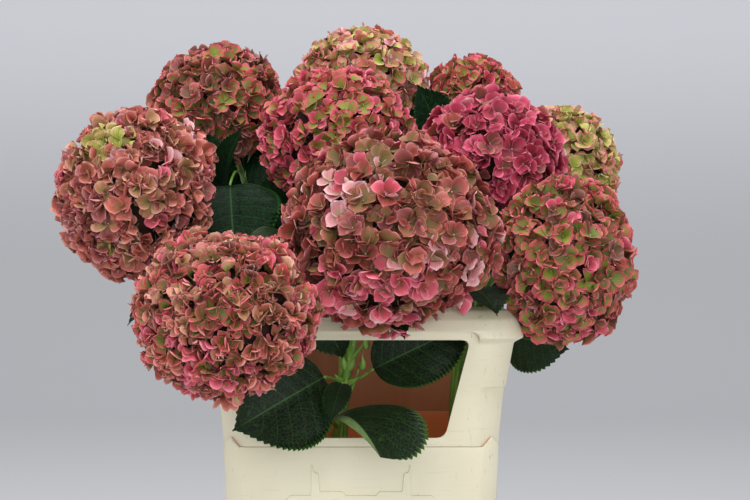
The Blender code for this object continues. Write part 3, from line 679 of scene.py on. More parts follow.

# Leaves, in millimetres: stem, height on it, blade base, tip, half widths left and right, where the upper
# side faces. The fill leaves lie deep between the heads and fill gaps where only dark shade shows; they take
# the darker leaf finish, painted shade.
leaves = {
    "sill_left": ("front", 390, (-38, -207, 404), (-131, -236, 351), (56, 50), (0, -1, 0.1)),
    "window": ("front", 393, (13, -160, 409), (122, -160, 460), (41, 41), (0.1, -1, 0.2)),
    "sill_middle": ("front", 345, (-33, -192, 357), (20, -290, 331), (68, 11), (0.27, -1, 0.82)),
    "sill_small": ("front", 381, (-19, -207, 398), (-31, -250, 361), (14, 14), (0, -0.8, 0.6)),
    "window_top": ("middle", 445, (-48, -100, 465), (-19, -122, 417), (26, 26), (0.1, -1, 0.25)),
    "under_front": ("front", 470, (26, -205, 487), (44.5, -264, 446), (20, 20), (0.1, -1, 0.6)),
    "rim_right": ("right", 482, (117, -155, 492.5), (139, -240, 468.5), (28, 24), (0.1, -0.5, 0.9)),
    "side_right": ("right_back", 505, (175, 95, 432), (248, 75, 416), (32, 42), (0.15, -1, 0.15)),
    "gap_left": ("back_left", 605, (-152, -15, 610), (-140, -78, 515), (56, 50), (0, -0.9, 0.4)),
    "gap_upright": ("back_left", 575, (-163, 40, 606), (-137, -8, 678), (19, 10), (-0.6, -0.8, 0.2)),
    "behind_left": ("middle", 565, (-60, 45, 580), (-140, 60, 600), (36, 36), (0, -1, 0.2)),
    "behind_gap": ("back_left", 622, (-136, 90, 650), (-70, 78, 620), (36, 40), (0, -1, 0.2)),
    "deep_right": ("right_back", 560, (170, 45, 575), (155, -35, 535), (42, 42), (0, -1, 0.4)),
    "deep_right_low": ("middle_right", 496, (95, -68, 505), (156, -83, 484), (27, 30), (0.1, -0.8, 0.6)),
    "gap_behind": ("back_left", 600, (-150, 216, 612), (-160, 222, 700), (34, 34), (0, -1, 0.1)),
    "top_gap": ("back_right", 640, (97, 150, 660), (66, 112, 738), (30, 34), (0.3, -1, 0.2)),
    "right_gap": ("middle_right", 515, (105, -115, 535), (155, -155, 582), (26, 26), (0.2, -1, 0.3)),
    "front_gap": ("middle", 530, (-65, -90, 545), (-110, -165, 530), (34, 34), (-0.1, -0.5, 0.9)),
    "low_left": ("left", 490, (-175, -30, 505), (-265, -50, 450), (40, 40), (-0.3, -0.4, 0.9)),
    "side_left": ("left", 500, (-170, 15, 505), (-240, 80, 450), (38, 38), (-0.3, 0.3, 0.9)),
    "left_rear": ("left", 535, (-205, 10, 550), (-250, 90, 560), (36, 36), (-0.3, 0.1, 0.9)),
    "left_high": ("back_left", 605, (-190, 70, 608), (-266, 45, 612), (30, 30), (-0.2, 0.1, 1)),
    "rear_side_left": ("back_left", 520, (-150, 150, 540), (-220, 220, 515), (40, 40), (-0.3, 0.3, 0.9)),
    "rear_low_left": ("rear_left", 505, (-95, 225, 500), (-155, 295, 435), (40, 40), (-0.4, 0.6, 0.9)),
    "rear_high_left": ("rear_left", 535, (-90, 195, 543), (-175, 225, 560), (36, 36), (-0.1, 0.4, 0.9)),
    "rear_gap": ("top", 560, (25, 175, 595), (30, 215, 685), (34, 34), (0, 1, 0.1)),
    "rear_middle": ("top", 500, (12, 165, 515), (30, 250, 480), (36, 36), (0, 0.5, 1)),
    "rear_low_right": ("rear_right", 505, (105, 230, 500), (160, 300, 435), (40, 40), (0.4, 0.6, 0.9)),
    "rear_side_right": ("right_back", 530, (185, 165, 540), (250, 225, 505), (38, 38), (0.3, 0.4, 0.9)),
    "right_rear": ("back_right", 600, (140, 200, 605), (220, 225, 610), (31, 31), (0.2, 0.4, 0.9)),
    "right_low": ("right_back", 500, (195, 50, 505), (290, 30, 470), (36, 36), (0.3, -0.2, 0.9)),
    "right_high": ("right_back", 580, (225, 35, 580), (262, -45, 590), (34, 34), (0.3, -0.1, 0.9)),
}
fillLeaves = {
    "fill_right": ("right_back", 500, (163, 0, 495), (172, -15, 575), (30, 30), (0, -1, 0.1)),
    "fill_left": ("back_left", 580, (-166, 58, 600), (-190, 45, 680), (26, 26), (0, -1, 0.1)),
    "fill_top": ("back_right", 620, (84, 128, 660), (60, 132, 738), (24, 24), (0, -1, 0.1)),
}


def inMetres(row):
    stem, height, *lengths, face = row
    return (stem, height / 1000, *(np.array(length) / 1000 for length in lengths), face)


leaves, fillLeaves = ({name: inMetres(row) for name, row in rows.items()} for rows in (leaves, fillLeaves))

stemShape = {
    "footHeight": 0.0053,
    "radii": (0.0050, 0.0032),  # at the foot and at the neck
    "mouthTurn": 0.35,  # how far the direction at the mouth leans to the upper part's
    "lowerPull": 0.33,  # handles over the length of their part
    "upperPull": 0.385,
    "rings": (34, 40),
    "sides": 14,
    "nodeSwell": 0.30,
    "nodeLength": 0.0045,
}
barkLook = {
    "streaks": ((160, 160, 14), (0.35, 0.7)),  # stretch, and the edges between which the noise rises
    "lenticels": ((520, 520, 230), (0.66, 0.74)),
    "lenticelShare": 0.6,
    "relief": 0.0004,
}


def bezier(a, b, c, d, t):  # the cubic curve a (1 - t)^3 + 3 b t (1 - t)^2 + 3 c t^2 (1 - t) + d t^3
    t = t[:, None]
    return a * (1 - t) ** 3 + b * 3 * t * (1 - t) ** 2 + c * 3 * t * t * (1 - t) + d * t**3


def stemLine(name, counts):  # foot to mouth, and on to the neck, as two cubics that join smoothly
    shape = stemShape
    facing, neck = unit(heads[name][1]), neckOf(name)
    footPlace, mouth = stems[name]
    foot, mouth = np.array([*footPlace, shape["footHeight"]]), np.array(mouth)
    lower, upper = mouth - foot, neck - mouth
    through = unit(unit(lower) * (1 - shape["mouthTurn"]) + unit(upper) * shape["mouthTurn"])
    lowerPull = np.linalg.norm(lower) * shape["lowerPull"]
    upperPull = np.linalg.norm(upper) * shape["upperPull"]
    t = np.linspace(0, 1, counts[0], endpoint=False)
    first = bezier(foot, foot + lower * shape["lowerPull"], mouth - through * lowerPull, mouth, t)
    t = np.linspace(0, 1, counts[1] + 1)
    second = bezier(mouth, mouth + through * upperPull, neck - facing * upperPull, neck, t)
    share = np.concatenate([np.arange(counts[0]) / counts[0], 1 + np.arange(counts[1] + 1) / counts[1]])
    radii = shape["radii"][0] + (shape["radii"][1] - shape["radii"][0]) * share / 2
    return np.concatenate([first, second]), radii


def barkFinish(name, low, high, lenticel, roughness):
    made = Finish(name, Roughness=roughness)
    place = made.place()
    streakStretch, streakEdges = barkLook["streaks"]
    spotStretch, spotEdges = barkLook["lenticels"]
    streaks = made.noise(made.stretch(place, streakStretch), 1.0, 3.0)
    spots = made.noise(made.stretch(place, spotStretch), 1.0, 1.0)
    colour = made.mix(streaks.rise(*streakEdges), paint(*low), paint(*high))
    colour = made.mix(spots.rise(*spotEdges) * barkLook["lenticelShare"], colour, paint(*lenticel))
    return made.feed(Base_Color=colour, Normal=made.bump(streaks, barkLook["relief"]))


stemGreen = barkFinish("stemGreen", (84, 130, 40), (122, 160, 64), (176, 190, 122), 0.42)
shootGreen = barkFinish("shootGreen", (104, 146, 50), (140, 172, 78), (186, 196, 130), 0.45)

for name in stems:
    line, radii = stemLine(name, stemShape["rings"])
    for leafStem, height, *_ in leaves.values():
        if leafStem == name:
            swelling = np.exp(-(((line[:, 2] - height) / stemShape["nodeLength"]) ** 2))
            radii = radii * (1 + stemShape["nodeSwell"] * swelling)
    skin = closedRings(tube(line, radii, stemShape["sides"]))
    addPiece("stem_" + name + "_skin", *skin, [stemGreen], "stem_green", ["stem_" + name])
print("stems made:", len(stems))

shoots = {  # height on the front stem, the middle and the end from there, base radius and flatness
    "bractLeft": (0.3905, (-0.0060, -0.0110, 0.0030), (-0.0110, -0.0150, 0.0120), 0.0026, 0.5),
    "bractLow": (0.3880, (0.0010, -0.0140, -0.0010), (0.0020, -0.0170, 0.0080), 0.0024, 0.5),
    "budLeft": (0.3920, (-0.0040, -0.0050, 0.0080), (-0.0035, -0.0070, 0.0170), 0.0024, 0.7),
    "budRight": (0.3920, (0.0060, -0.0050, 0.0060), (0.0080, -0.0080, 0.0160), 0.0024, 0.7),
    "bractRight": (0.3905, (0.0070, -0.0110, 0.0010), (0.0150, -0.0140, 0.0080), 0.0022, 0.5),
    "sideTwig": (0.3550, (0.0140, -0.0100, 0.0140), (0.0270, -0.0160, 0.0700), 0.0020, 1.0),
    "twigLeaf": (0.3920, (0.0195, -0.0140, 0.0020), (0.0160, -0.0200, 0.0200), 0.0024, 0.4),
    "twigLeafHigh": (0.3920, (0.0230, -0.0150, 0.0290), (0.0165, -0.0200, 0.0440), 0.0024, 0.4),
    "highStalk": (0.4180, (0.0090, -0.0060, 0.0060), (0.0250, -0.0120, 0.0340), 0.0024, 1.0),
}
twigLeaves = {  # shoots that leave the twig, how far from the stem
    "twigLeaf": (0.0130, -0.0120, 0.0060),
    "twigLeafHigh": (0.0200, -0.0140, 0.0250),
}
shootShape = {"rings": 12, "sides": 10, "away": (0.3, -1.0, 0.1)}


def shootRings(name):
    # a quadratic curve, radius (0.7 + 0.9 sin(pi t)) (1.02 - t^3) thick and pressed flat towards away, or
    # radius (0.7 + 0.3 (1 - t)) (1.02 - t^3) where the shoot is round
    height, middle, end, radius, flatness = shoots[name]
    line = stemLine("front", stemShape["rings"])[0]
    step = int(np.argmax(line[:, 2] >= height))
    onStem = line[step]
    base = onStem + np.array(twigLeaves.get(name, (0.0, 0.0, 0.0)))
    t = np.linspace(0, 1, shootShape["rings"])
    path = bend(base, onStem + np.array(middle), onStem + np.array(end), t)
    swelling = 0.9 * np.sin(math.pi * t) if flatness < 1 else 0.3 * (1 - t)
    rings = tube(path, radius * (0.7 + swelling) * (1.02 - t**3), shootShape["sides"])
    offset = rings - path[:, None]
    away = unit(shootShape["away"])
    return path[:, None] + offset - (offset @ away)[..., None] * away * (1 - flatness)


shootPoints = np.array([shootRings(name) for name in shoots])
addPiece("windowShoots", *closedRings(shootPoints), [shootGreen], "stem_green")
print("shoots made:", len(shoots))


leafShape = {
    "toothSpacing": 0.0046,
    "toothPhases": (0.0, 0.45, 0.88),  # rows of a tooth, and how far out each lies
    "toothHeights": (0.0, 0.55, 1.0),
    "toothDepth": 0.0024,
    "toothHook": 0.0019,  # how far its point is drawn forward
    "edgeBand": 0.16,  # the teeth reach this far in, over the half width
    "edgeFade": (8, 6),  # and fade within one part in so many at the base and at the tip
    "fullSize": 0.03,  # half width from which teeth and relief have their full size
    "leastSize": 0.35,
    "columns": 19,
    "widest": 0.42,
    "fullness": 0.60,
    "point": 0.80,  # how much slimmer the outline gets towards the tip
    "twist": 0.0,  # turn about the line from base to tip
    "sweep": 0.0,  # how far the left edge is drawn forward, over its half width
    "droop": 0.0,  # how far it sags, over its half width squared
    "rolled": False,
    "least": 0.0006,  # half width at base and tip
    "fold": 0.22,
    "arch": 0.10,
    "thickness": 0.0009,
    "thinning": (0.6, 0.4),  # towards the margin and towards the tip
    "edgeThickness": 0.0002,
    "wave": 0.06,  # how far the margin undulates, over the blade's half width
    "waveRate": 9,
    "veins": 8,
    "veinSweep": 0.20,
    "quilt": 0.0010,
    "midrib": (1.4, 0.0022),  # how deep, over the quilting, and how wide
    "stalkRadius": 0.0016,
    "stalkRings": 12,
    "stalkSides": 8,
    "stalkSwing": 0.4,
    "stalkRise": 0.2,
    "stalkSunk": 0.6,  # where it starts in the stem, over the stem's radius
    "stalkFlare": (0.7, 9),  # how much thicker it starts, and how soon that is over
    "inset": 0.02,  # of the blade in its tile
}
ownLeafShape = {  # what differs on single leaves; rolled shows the underside
    "sill_middle": dict(
        widest=0.51, fullness=0.70, point=0.10, fold=0.0, arch=0.19, twist=1.21, sweep=0.39, droop=2.8,
        rolled=True,
    ),
}
# Leaves deep in the gaps between heads take the darker leaf finish, painted shade.
shadedLeaves = ("gap_left", "gap_upright", "gap_behind", "behind_left", "behind_gap", "deep_right", "top_gap")
grownLeaves = {**leaves, **fillLeaves}


def veinGap(s, v, count, sweep):  # 0 on a side vein and 1 between two, the veins sweeping forward
    phase = (s - sweep * np.abs(v) ** 1.1) * count
    return np.abs(2 * (phase - np.floor(phase)) - 1)


def leafBlade(name):
    # Points base + s along + width v side + lift up, where width is half sin(pi s^p)^(fullness + point s^4)
    # with teeth at its edge, and lift adds the fold, the quilting between veins and the margin's wave. The
    # line itself arches, side and up turn by the twist along it, and the left edge sweeps forward and droops.
    shape = {**leafShape, **ownLeafShape.get(name, {})}
    base, tip, halfWidths, face = grownLeaves[name][2:]
    along = tip - base
    length = np.linalg.norm(along)
    side = unit(np.cross(along, unit(face)))
    up = unit(np.cross(side, along))
    teeth = max(8, round(length * 1.1 / shape["toothSpacing"]))
    s = ((np.arange(teeth)[:, None] + np.array(shape["toothPhases"])) / teeth).ravel()
    s = np.append(s, 1.0)[:, None]
    tooth = np.append(np.tile(shape["toothHeights"], teeth), 0.0)[:, None]
    v = np.sin(np.linspace(-1, 1, shape["columns"]) * math.pi / 2)[None, :]
    eased = s ** (math.log(0.5) / math.log(shape["widest"]))
    outline = np.maximum(np.sin(math.pi * eased), 0) ** (shape["fullness"] + shape["point"] * s**4)
    half = np.where(v < 0, halfWidths[0], halfWidths[1])
    edge = np.clip((np.abs(v) - 1) / shape["edgeBand"] + 1, 0, 1)
    fadeBase, fadeTip = shape["edgeFade"]
    fade = np.clip(s * fadeBase, 0, 1) * np.clip((1 - s) * fadeTip, 0, 1)
    size = np.clip(half / shape["fullSize"], shape["leastSize"], 1.0)
    toothed = size * edge * fade
    width = np.maximum(half * outline + (tooth - 0.5) * shape["toothDepth"] * toothed, shape["least"])
    across = width * v
    forward = tooth * shape["toothHook"] * toothed + shape["sweep"] * np.abs(across) * (v < 0)
    gap = veinGap(s, v, shape["veins"], shape["veinSweep"])
    quilt = shape["quilt"] * (np.sqrt(gap) - 0.7) * np.clip(np.abs(v) * 6, 0, 1) * (1 - edge) * fade * size
    ribDepth, ribWidth = shape["midrib"]
    midrib = -shape["quilt"] * ribDepth * np.exp(-((across / ribWidth) ** 2)) * (1 - s)
    phase = sum(ord(letter) for letter in name)
    wave = shape["wave"] * half * np.abs(v) ** 2 * np.sin(s * shape["waveRate"] + phase + v) * fade
    lift = shape["fold"] * np.abs(across) + quilt + midrib + wave
    spine = base + along * s[..., None] + up * (shape["arch"] * length * 4 * s * (1 - s))[..., None]
    turn = (shape["twist"] * (s - 0.5))[..., None]
    side, up = side * np.cos(turn) + up * np.sin(turn), up * np.cos(turn) - side * np.sin(turn)
    top = spine + side * across[..., None] + up * lift[..., None] + unit(along) * forward[..., None]
    top[..., 2] -= shape["droop"] * np.where(v < 0, across, 0.0) ** 2
    outwards, tipward = shape["thinning"]
    thin = shape["thickness"] * (1 - outwards * np.abs(v)) * (1 - tipward * s)
    thin = np.where(np.abs(v) > 0.999, shape["edgeThickness"], thin)
    return top, top - up * thin[..., None], s, v


def leafStalk(name):  # a quadratic curve that leaves the stem squarely and ends at the blade's base
    shape = leafShape
    stem, height, base, *_ = grownLeaves[name]
    line, radii = stemLine(stem, stemShape["rings"])
    step = int(np.argmax(line[:, 2] >= height))
    below, above = line[step - 1], line[step]
    onStem = below + (above - below) * (height - below[2]) / (above[2] - below[2])
    grain = unit(above - below)
    towards = base - onStem
    outward = unit(towards - grain * (towards @ grain))
    start = onStem + outward * radii[step] * shape["stalkSunk"]
    reach = np.linalg.norm(base - start)
    middle = start + outward * shape["stalkSwing"] * reach + np.array([0, 0, shape["stalkRise"] * reach])
    t = np.linspace(0, 1, shape["stalkRings"])
    more, rate = shape["stalkFlare"]
    radii = shape["stalkRadius"] * (1 + more * np.exp(-t * rate))
    return tube(bend(start, middle, base, t), radii, shape["stalkSides"])


leafLook = {
    "net": (1.6, 3.0, 9.0),  # scale of the fine veins across, along and in all
    "netLine": (0.07, 0.42),  # width over the gap between two, and strength
    "netRelief": (0.25, 0.00016),
    "mottle": (3.0, (0.3, 0.7)),
    "sideVein": (0.06, 0.75),
    "midrib": ((0.010, 0.028), 0.8),  # between which shares of the half width it ends, and its strength
    "margin": ((0.93, 0.995), 0.7),
}


def leafFinish(name, ground, between, vein, margin, roughness, shine):
    made = Finish(name, Roughness=roughness, Specular_IOR_Level=shine)
    shape, look = leafShape, leafLook
    s, t = made.tile(2)
    inset = shape["inset"]
    v = ((s - inset) / (1 - 2 * inset) * 2 - 1).size()
    along = (t - inset) / (1 - 2 * inset)
    gap = (((along - v**1.1 * shape["veinSweep"]) * shape["veins"]).part() * 2 - 1).size()
    netAcross, netAlong, netScale = look["net"]
    place = made.node("ShaderNodeCombineXYZ", values=[v * netAcross, along * netAlong, 0.0])
    netValues = {"Vector": place, "Scale": netScale}
    net = made.node("ShaderNodeTexVoronoi", {"feature": "DISTANCE_TO_EDGE"}, netValues)
    (netWidth, netShare), (reliefWidth, relief) = look["netLine"], look["netRelief"]
    (veinWidth, veinShare), (ribEdges, ribShare) = look["sideVein"], look["midrib"]
    (mottleScale, mottleEdges), (rimEdges, rimShare) = look["mottle"], look["margin"]
    mottle = made.noise(place, mottleScale, 3.0)
    colour = made.mix(mottle.rise(*mottleEdges), paint(*ground), paint(*between))
    colour = made.mix((1 - net.rise(0.0, netWidth)) * netShare, colour, paint(*vein))
    colour = made.mix((1 - gap.rise(0.0, veinWidth)) * (1 - v * 0.6) * veinShare, colour, paint(*vein))
    colour = made.mix((1 - v.rise(*ribEdges)) * ribShare, colour, paint(*vein))
    colour = made.mix(v.rise(*rimEdges) * rimShare, colour, paint(*margin))
    return made.feed(Base_Color=colour, Normal=made.bump(net.rise(0.0, reliefWidth), relief))


# ground, between the veins, vein, margin, roughness and shine
leafUpper = leafFinish("leafUpper", (8, 20, 6), (13, 33, 9), (58, 94, 42), (56, 102, 26), 0.40, 0.20)
# A darker, less shiny copy of the upper side: painted shade for leaves deep between the heads.
leafShaded = leafFinish("leafShaded", (5, 20, 8), (9, 33, 13), (46, 86, 44), (36, 88, 30), 0.42, 0.06)
leafUnder = leafFinish("leafUnder", (96, 124, 70), (116, 142, 84), (150, 172, 116), (116, 146, 70), 0.6, 0.4)


def growLeaf(name):
    shape = {**leafShape, **ownLeafShape.get(name, {})}
    top, under, s, v = leafBlade(name)
    rows, columns = top.shape[:2]
    count = rows * columns
    grid = gridFaces(rows, columns)
    i = np.arange(rows - 1)
    left = np.stack([i, i + 1], -1) * columns
    right = left + columns - 1
    j = np.arange(columns - 1)
    base = np.stack([j, j + 1], -1)
    tip = base + (rows - 1) * columns
    edges = np.concatenate([left, right[:, ::-1], base[:, ::-1], tip])
    walls = np.concatenate([edges, edges[:, ::-1] + count], -1)
    stalkPoints, stalkFaces = closedRings(leafStalk(name))
    turned = (np.arange(len(grid)) % (columns - 1) >= columns // 2) & shape["rolled"]
    kinds = [turned, ~turned, np.zeros(len(walls)), np.full(len(stalkFaces[0]), 2), [2, 2]]
    inset = shape["inset"]
    u = inset + (v + 1) / 2 * (1 - 2 * inset) + 0 * s
    w = inset + s * (1 - 2 * inset) + 0 * v
    tile = np.stack([u, w], -1).reshape(-1, 2) / 2
    across, up = (np.linspace(0.55, 0.95, shape[count]) for count in ("stalkSides", "stalkRings"))
    stalkTile = np.stack(np.meshgrid(across, up), -1)
    sides, caps = (part + 2 * count for part in stalkFaces)
    # leaves in deep gaps and the fill leaves take the painted-shade finish
    isShaded = name in shadedLeaves or name in fillLeaves
    addPiece(
        "leaf_" + name + "_blade",
        np.concatenate([top.reshape(-1, 3), under.reshape(-1, 3), stalkPoints]),
        [np.concatenate([grid, grid[:, ::-1] + count, walls, sides]), caps],
        [leafShaded if isShaded else leafUpper, leafUnder, stemGreen],
        "leaf_green",
        ["leaf_" + name] if name in leaves else [],
        tiles=np.concatenate([tile, tile + (0.5, 0.0), stalkTile.reshape(-1, 2)]),
        faceFinish=np.concatenate(kinds),
    )


for name in grownLeaves:
    growLeaf(name)
print("leaves grown:", len(grownLeaves))


bucketShape = {
    "halfWidth": 0.145,
    "halfDepth": 0.195,
    "height": 0.330,
    "narrowing": 0.012,
    "wall": 0.0035,
    "floor": 0.005,
    "rimCorner": 0.017,
    "footCorner": 0.042,
    "footBevel": 0.005,
    "cornerSteps": 12,
    "cornerBulge": 0.35,  # 0 for a flat facet and 1 for a quarter circle
    "earHeight": 0.0095,  # the rim rises at its corners
    "earFrom": 0.318,
    "levels": (0.10, 0.20),  # heights with a ring of points
    "underside": 0.05,  # how far in the last ring of the underside and of the floor lies
    "floorRing": 0.06,
    "softness": 0.0012,
}
panelShape = {
    "halfWidth": 0.082,
    "top": 0.279,
    "bottom": 0.068,
    "corner": 0.008,
    "narrowing": 0.010,
    "notch": (0.016, 0.019, 0.004),  # half widths at its floor and at its mouth, and its depth
    "prongOutside": 0.052,
    "prongHeight": 0.032,
    "prongFoot": 0.009,
    "prongWidth": 0.002,
    "rounding": 0.0012,
    "edge": ((-0.0004, -0.001), (-0.0002, 0.0006), (0.0, 0.0013), (0.0003, 0.0016)),  # inwards, outwards
}
collarShape = {
    "base": 0.3303,
    "outside": (
        (0.000, 0.000), (0.052, 0.005), (0.104, 0.0146), (0.1085, 0.0155), (0.114, 0.0255), (0.122, 0.0235),
        (0.133, 0.0190), (0.142, 0.0095), (0.146, -0.0020),
    ),
    "inside": (
        (0.1455, -0.0060), (0.1415, -0.0065), (0.1380, 0.0070), (0.1300, 0.0150), (0.1200, 0.0195),
        (0.1145, 0.0205), (0.1115, 0.0118), (0.1040, 0.0104), (0.0520, 0.0012), (0.0000, -0.0036),
    ),
    "cornerGrowth": 0.6,
    "softness": 0.0022,  # how far a bend of the profile is rounded to either side
    "softSteps": 4,
    "recessTop": 0.062,  # below this the corner facets are set back
    "recessDepth": 0.0075,
    "sill": 0.0090,
    "head": 0.1120,
    "sillHalfWidth": 0.0875,
    "headHalfWidth": 0.1135,
    "windowRounding": 0.010,
    "frameWidth": 0.0092,  # the plain band over the window, let into the lip
    "frameFrom": 0.1035,
    "frameThick": 0.0042,
    "plateMore": (0.0004, 0.0006),  # how far the plate goes past its cut, around and below
    "reach": 0.05,
    "bevel": 0.0007,
    "bevelAngle": math.radians(38),
    "innerTop": 0.112,  # the brown-orange inside, painted shade and warm light through the plastic, ends here
}
sharpAngle = math.radians(32)


def soften(profile, radius, steps, closed=False):
    # each inner corner of a polyline gives way to a quadratic arc between points radius before and after it
    profile = np.asarray(profile, float)
    before, after = np.roll(profile, 1, 0) - profile, np.roll(profile, -1, 0) - profile
    reach = np.minimum(np.linalg.norm(before, axis=1), np.linalg.norm(after, axis=1)) * 0.45
    reach = np.minimum(reach, radius)[:, None]
    before, after = unit(before) * reach, unit(after) * reach
    t = np.linspace(0, 1, steps + 1)[None, :, None]
    arcs = profile[:, None] + before[:, None] * (1 - t) ** 2 + after[:, None] * t * t
    if closed:
        return arcs.reshape(-1, profile.shape[1])
    return np.concatenate([profile[:1], arcs[1:-1].reshape(-1, profile.shape[1]), profile[-1:]])


def cornerRings(halfWidth, halfDepth, corner, z):
    # a rectangle at each height, its corners between a flat facet and a quarter circle, anticlockwise
    shape = bucketShape
    share = np.tile(np.linspace(0, 1, shape["cornerSteps"] + 1), 4)
    quarter = np.repeat(np.arange(4), shape["cornerSteps"] + 1)
    angle = (quarter + share) * math.pi / 2
    start, end = quarter * math.pi / 2, (quarter + 1) * math.pi / 2
    flat = np.stack([f(start) * (1 - share) + f(end) * share for f in (np.cos, np.sin)])
    arc = np.stack([np.cos(angle), np.sin(angle)])
    x, y = flat + shape["cornerBulge"] * (arc - flat)
    signX, signY = np.array([1, -1, -1, 1])[quarter], np.array([1, 1, -1, -1])[quarter]
    halfWidth, halfDepth, corner, z = (value[:, None] for value in (halfWidth, halfDepth, corner, z))
    across = signX * (halfWidth - corner) + corner * x
    through = signY * (halfDepth - corner) + corner * y
    return np.stack([across, through, z + 0 * across], -1)


def plainWall(z):  # half depth of the bucket's outside at a height
    return bucketShape["halfDepth"] - bucketShape["narrowing"] * (1 - z / bucketShape["height"])


def bucketShell():
    # a profile of height and inset, from the underside over the rim to the floor, carried round the corners;
    # above earFrom it rises by ear (1 - |2 share - 1|) over each corner
    shape = bucketShape
    height, wall, floor, bevel = shape["height"], shape["wall"], shape["floor"], shape["footBevel"]
    levels = (*shape["levels"], shape["earFrom"])
    profile = [(0.0, shape["underside"]), (0.0, bevel * 0.9), (bevel, 0.0), *[(z, 0.0) for z in levels]]
    profile += [(height, 0.0), (height, wall), *[(z, wall) for z in reversed(levels)]]
    profile += [(floor, wall), (floor, shape["floorRing"])]
    z, inset = soften(profile, shape["softness"], 3).T
    narrow = shape["narrowing"] * (1 - z / height)
    corner = shape["rimCorner"] + (shape["footCorner"] - shape["rimCorner"]) * (1 - z / height)
    halfWidth, halfDepth = (shape[size] - narrow - inset for size in ("halfWidth", "halfDepth"))
    rings = cornerRings(halfWidth, halfDepth, corner - inset / 2, z)
    share = np.tile(np.linspace(0, 1, shape["cornerSteps"] + 1), 4)
    ear = shape["earHeight"] * (1 - np.abs(2 * share - 1))
    rise = np.clip((z - shape["earFrom"]) / (height - shape["earFrom"]), 0, 1)
    rings[..., 2] += rise[:, None] * ear
    isInner = (inset[:-1] + inset[1:] > wall) & (z[:-1] > floor / 2)
    return closedRings(rings), np.repeat(isInner, rings.shape[1])


def panelOutline():  # the raised panel's right half from its notch round to its foot, and the same mirrored
    shape = panelShape
    top, bottom = shape["top"], shape["bottom"]
    prongTop = top + shape["prongHeight"]
    step = prongTop - shape["prongFoot"]
    outside, width = shape["prongOutside"], shape["prongWidth"]
    inner = outside - shape["prongFoot"]
    notchFloor, notchMouth, notchHeight = shape["notch"]
    low = shape["halfWidth"] - shape["narrowing"]
    half = [(notchFloor, top), (notchMouth, top + notchHeight), (inner, top + notchHeight)]
    half += [(inner + width, step), (outside - width, step + width), (outside - width / 2, prongTop)]
    half += [(outside, prongTop), (outside, top)]
    half += [(shape["halfWidth"] - shape["corner"], top), (shape["halfWidth"], top - shape["corner"])]
    half += [(low, bottom + shape["corner"]), (low - shape["corner"], bottom)]
    return soften(half + [(-x, z) for x, z in reversed(half)], shape["rounding"], 3, closed=True)


def raisedPanel(front):  # the outline carried over its edge's steps inwards, and outwards from the wall
    shape = panelShape
    outline = panelOutline()
    middle = np.array([0.0, (shape["top"] + shape["bottom"]) / 2])
    ahead = unit(np.roll(outline, -1, 0) - np.roll(outline, 1, 0))
    out = np.stack([-ahead[:, 1], ahead[:, 0]], -1)
    out = out * np.sign(np.sum(out[-1] * (outline[-1] - middle)))
    rings = []
    for inset, depth in shape["edge"]:
        ring = outline - out * inset
        rings.append(np.stack([ring[:, 0], -(plainWall(ring[:, 1]) + depth), ring[:, 1]], -1))
    rings = np.array(rings)
    if front < 0:
        rings = rings * (-1, -1, 1)
    return closedRings(rings, turned=True)


def windowOutline(grow, steps):  # a trapezium with rounded corners, moved outwards by grow
    shape = collarShape
    rise = shape["head"] - shape["sill"]
    lean = (shape["headHalfWidth"] - shape["sillHalfWidth"]) / rise
    side = grow * math.sqrt(1 + lean * lean)
    low = shape["sillHalfWidth"] + side - lean * grow
    high = shape["headHalfWidth"] + side + lean * grow
    base = shape["base"]
    corners = [
        (-low, base + shape["sill"] - grow),
        (low, base + shape["sill"] - grow),
        (high, base + shape["head"] + grow),
        (-high, base + shape["head"] + grow),
    ]
    return soften(corners, shape["windowRounding"] + grow * 0.5, steps, closed=True)


def bandOutline(around, below):  # the window's outline moved out to the plain band's, cut off flat below it
    shape = collarShape
    outline = windowOutline(shape["frameWidth"] + around, 8)
    outline[:, 1] = np.maximum(outline[:, 1], shape["base"] + shape["frameFrom"] - below)
    return outline[np.append(True, np.linalg.norm(np.diff(outline, axis=0), axis=1) > 1e-6)]


def prism(outline, front, back):  # closed solid between two surfaces y(z) over an outline in x and z
    x, z = outline.T
    rings = np.array([np.stack([x, y + 0 * x, z], -1) for y in (front, back)])
    return closedRings(rings, turned=True)


def plainMesh(name, points, faces):
    mesh = bpy.data.meshes.new(name)
    mesh.from_pydata(points.tolist(), [], [face for part in faces for face in part.tolist()])
    made = bpy.data.objects.new(name, mesh)
    bpy.context.scene.collection.objects.link(made)
    return made


def modify(target, kind, **settings):  # puts the result of one modifier in the target's place
    step = target.modifiers.new(kind, kind)
    for setting, value in settings.items():
        setattr(step, setting, value)
    graph = bpy.context.evaluated_depsgraph_get()
    target.data = bpy.data.meshes.new_from_object(target.evaluated_get(graph))
    target.modifiers.clear()


def combine(target, operation, outline, front, back):
    other = plainMesh("tool", *prism(outline, front, back))
    modify(target, "BOOLEAN", operation=operation, object=other)
    bpy.data.objects.remove(other)


def collarShell():  # the profile carried round the corners, which are set back below recessTop
    shape = collarShape
    softness = (shape["softness"], shape["softSteps"])
    outside, inside = (soften(shape[side], *softness) for side in ("outside", "inside"))
    recess = shape["recessTop"] + np.array([-0.0005, 0.0005])
    recess = np.stack([recess, np.interp(recess, *outside.T)], -1)
    row = int(np.searchsorted(outside[:, 0], shape["recessTop"]))
    height, flare = np.concatenate([outside[:row], recess, outside[row:], inside]).T
    setBack = np.where(height < shape["recessTop"], shape["recessDepth"], 0)
    corner = bucketShape["rimCorner"] + shape["cornerGrowth"] * flare + setBack
    halfWidth, halfDepth = bucketShape["halfWidth"] + flare, bucketShape["halfDepth"] + flare
    rings = cornerRings(halfWidth, halfDepth, corner, shape["base"] + height)
    count, columns = rings.shape[:2]
    walls = manyGrids(1, count, columns, wrap=True)
    k = np.arange(columns)
    last = (count - 1) * columns
    seam = np.stack([last + k, last + (k + 1) % columns, (k + 1) % columns, k], -1)
    return plainMesh("collarBody", rings.reshape(-1, 3), [walls, seam])


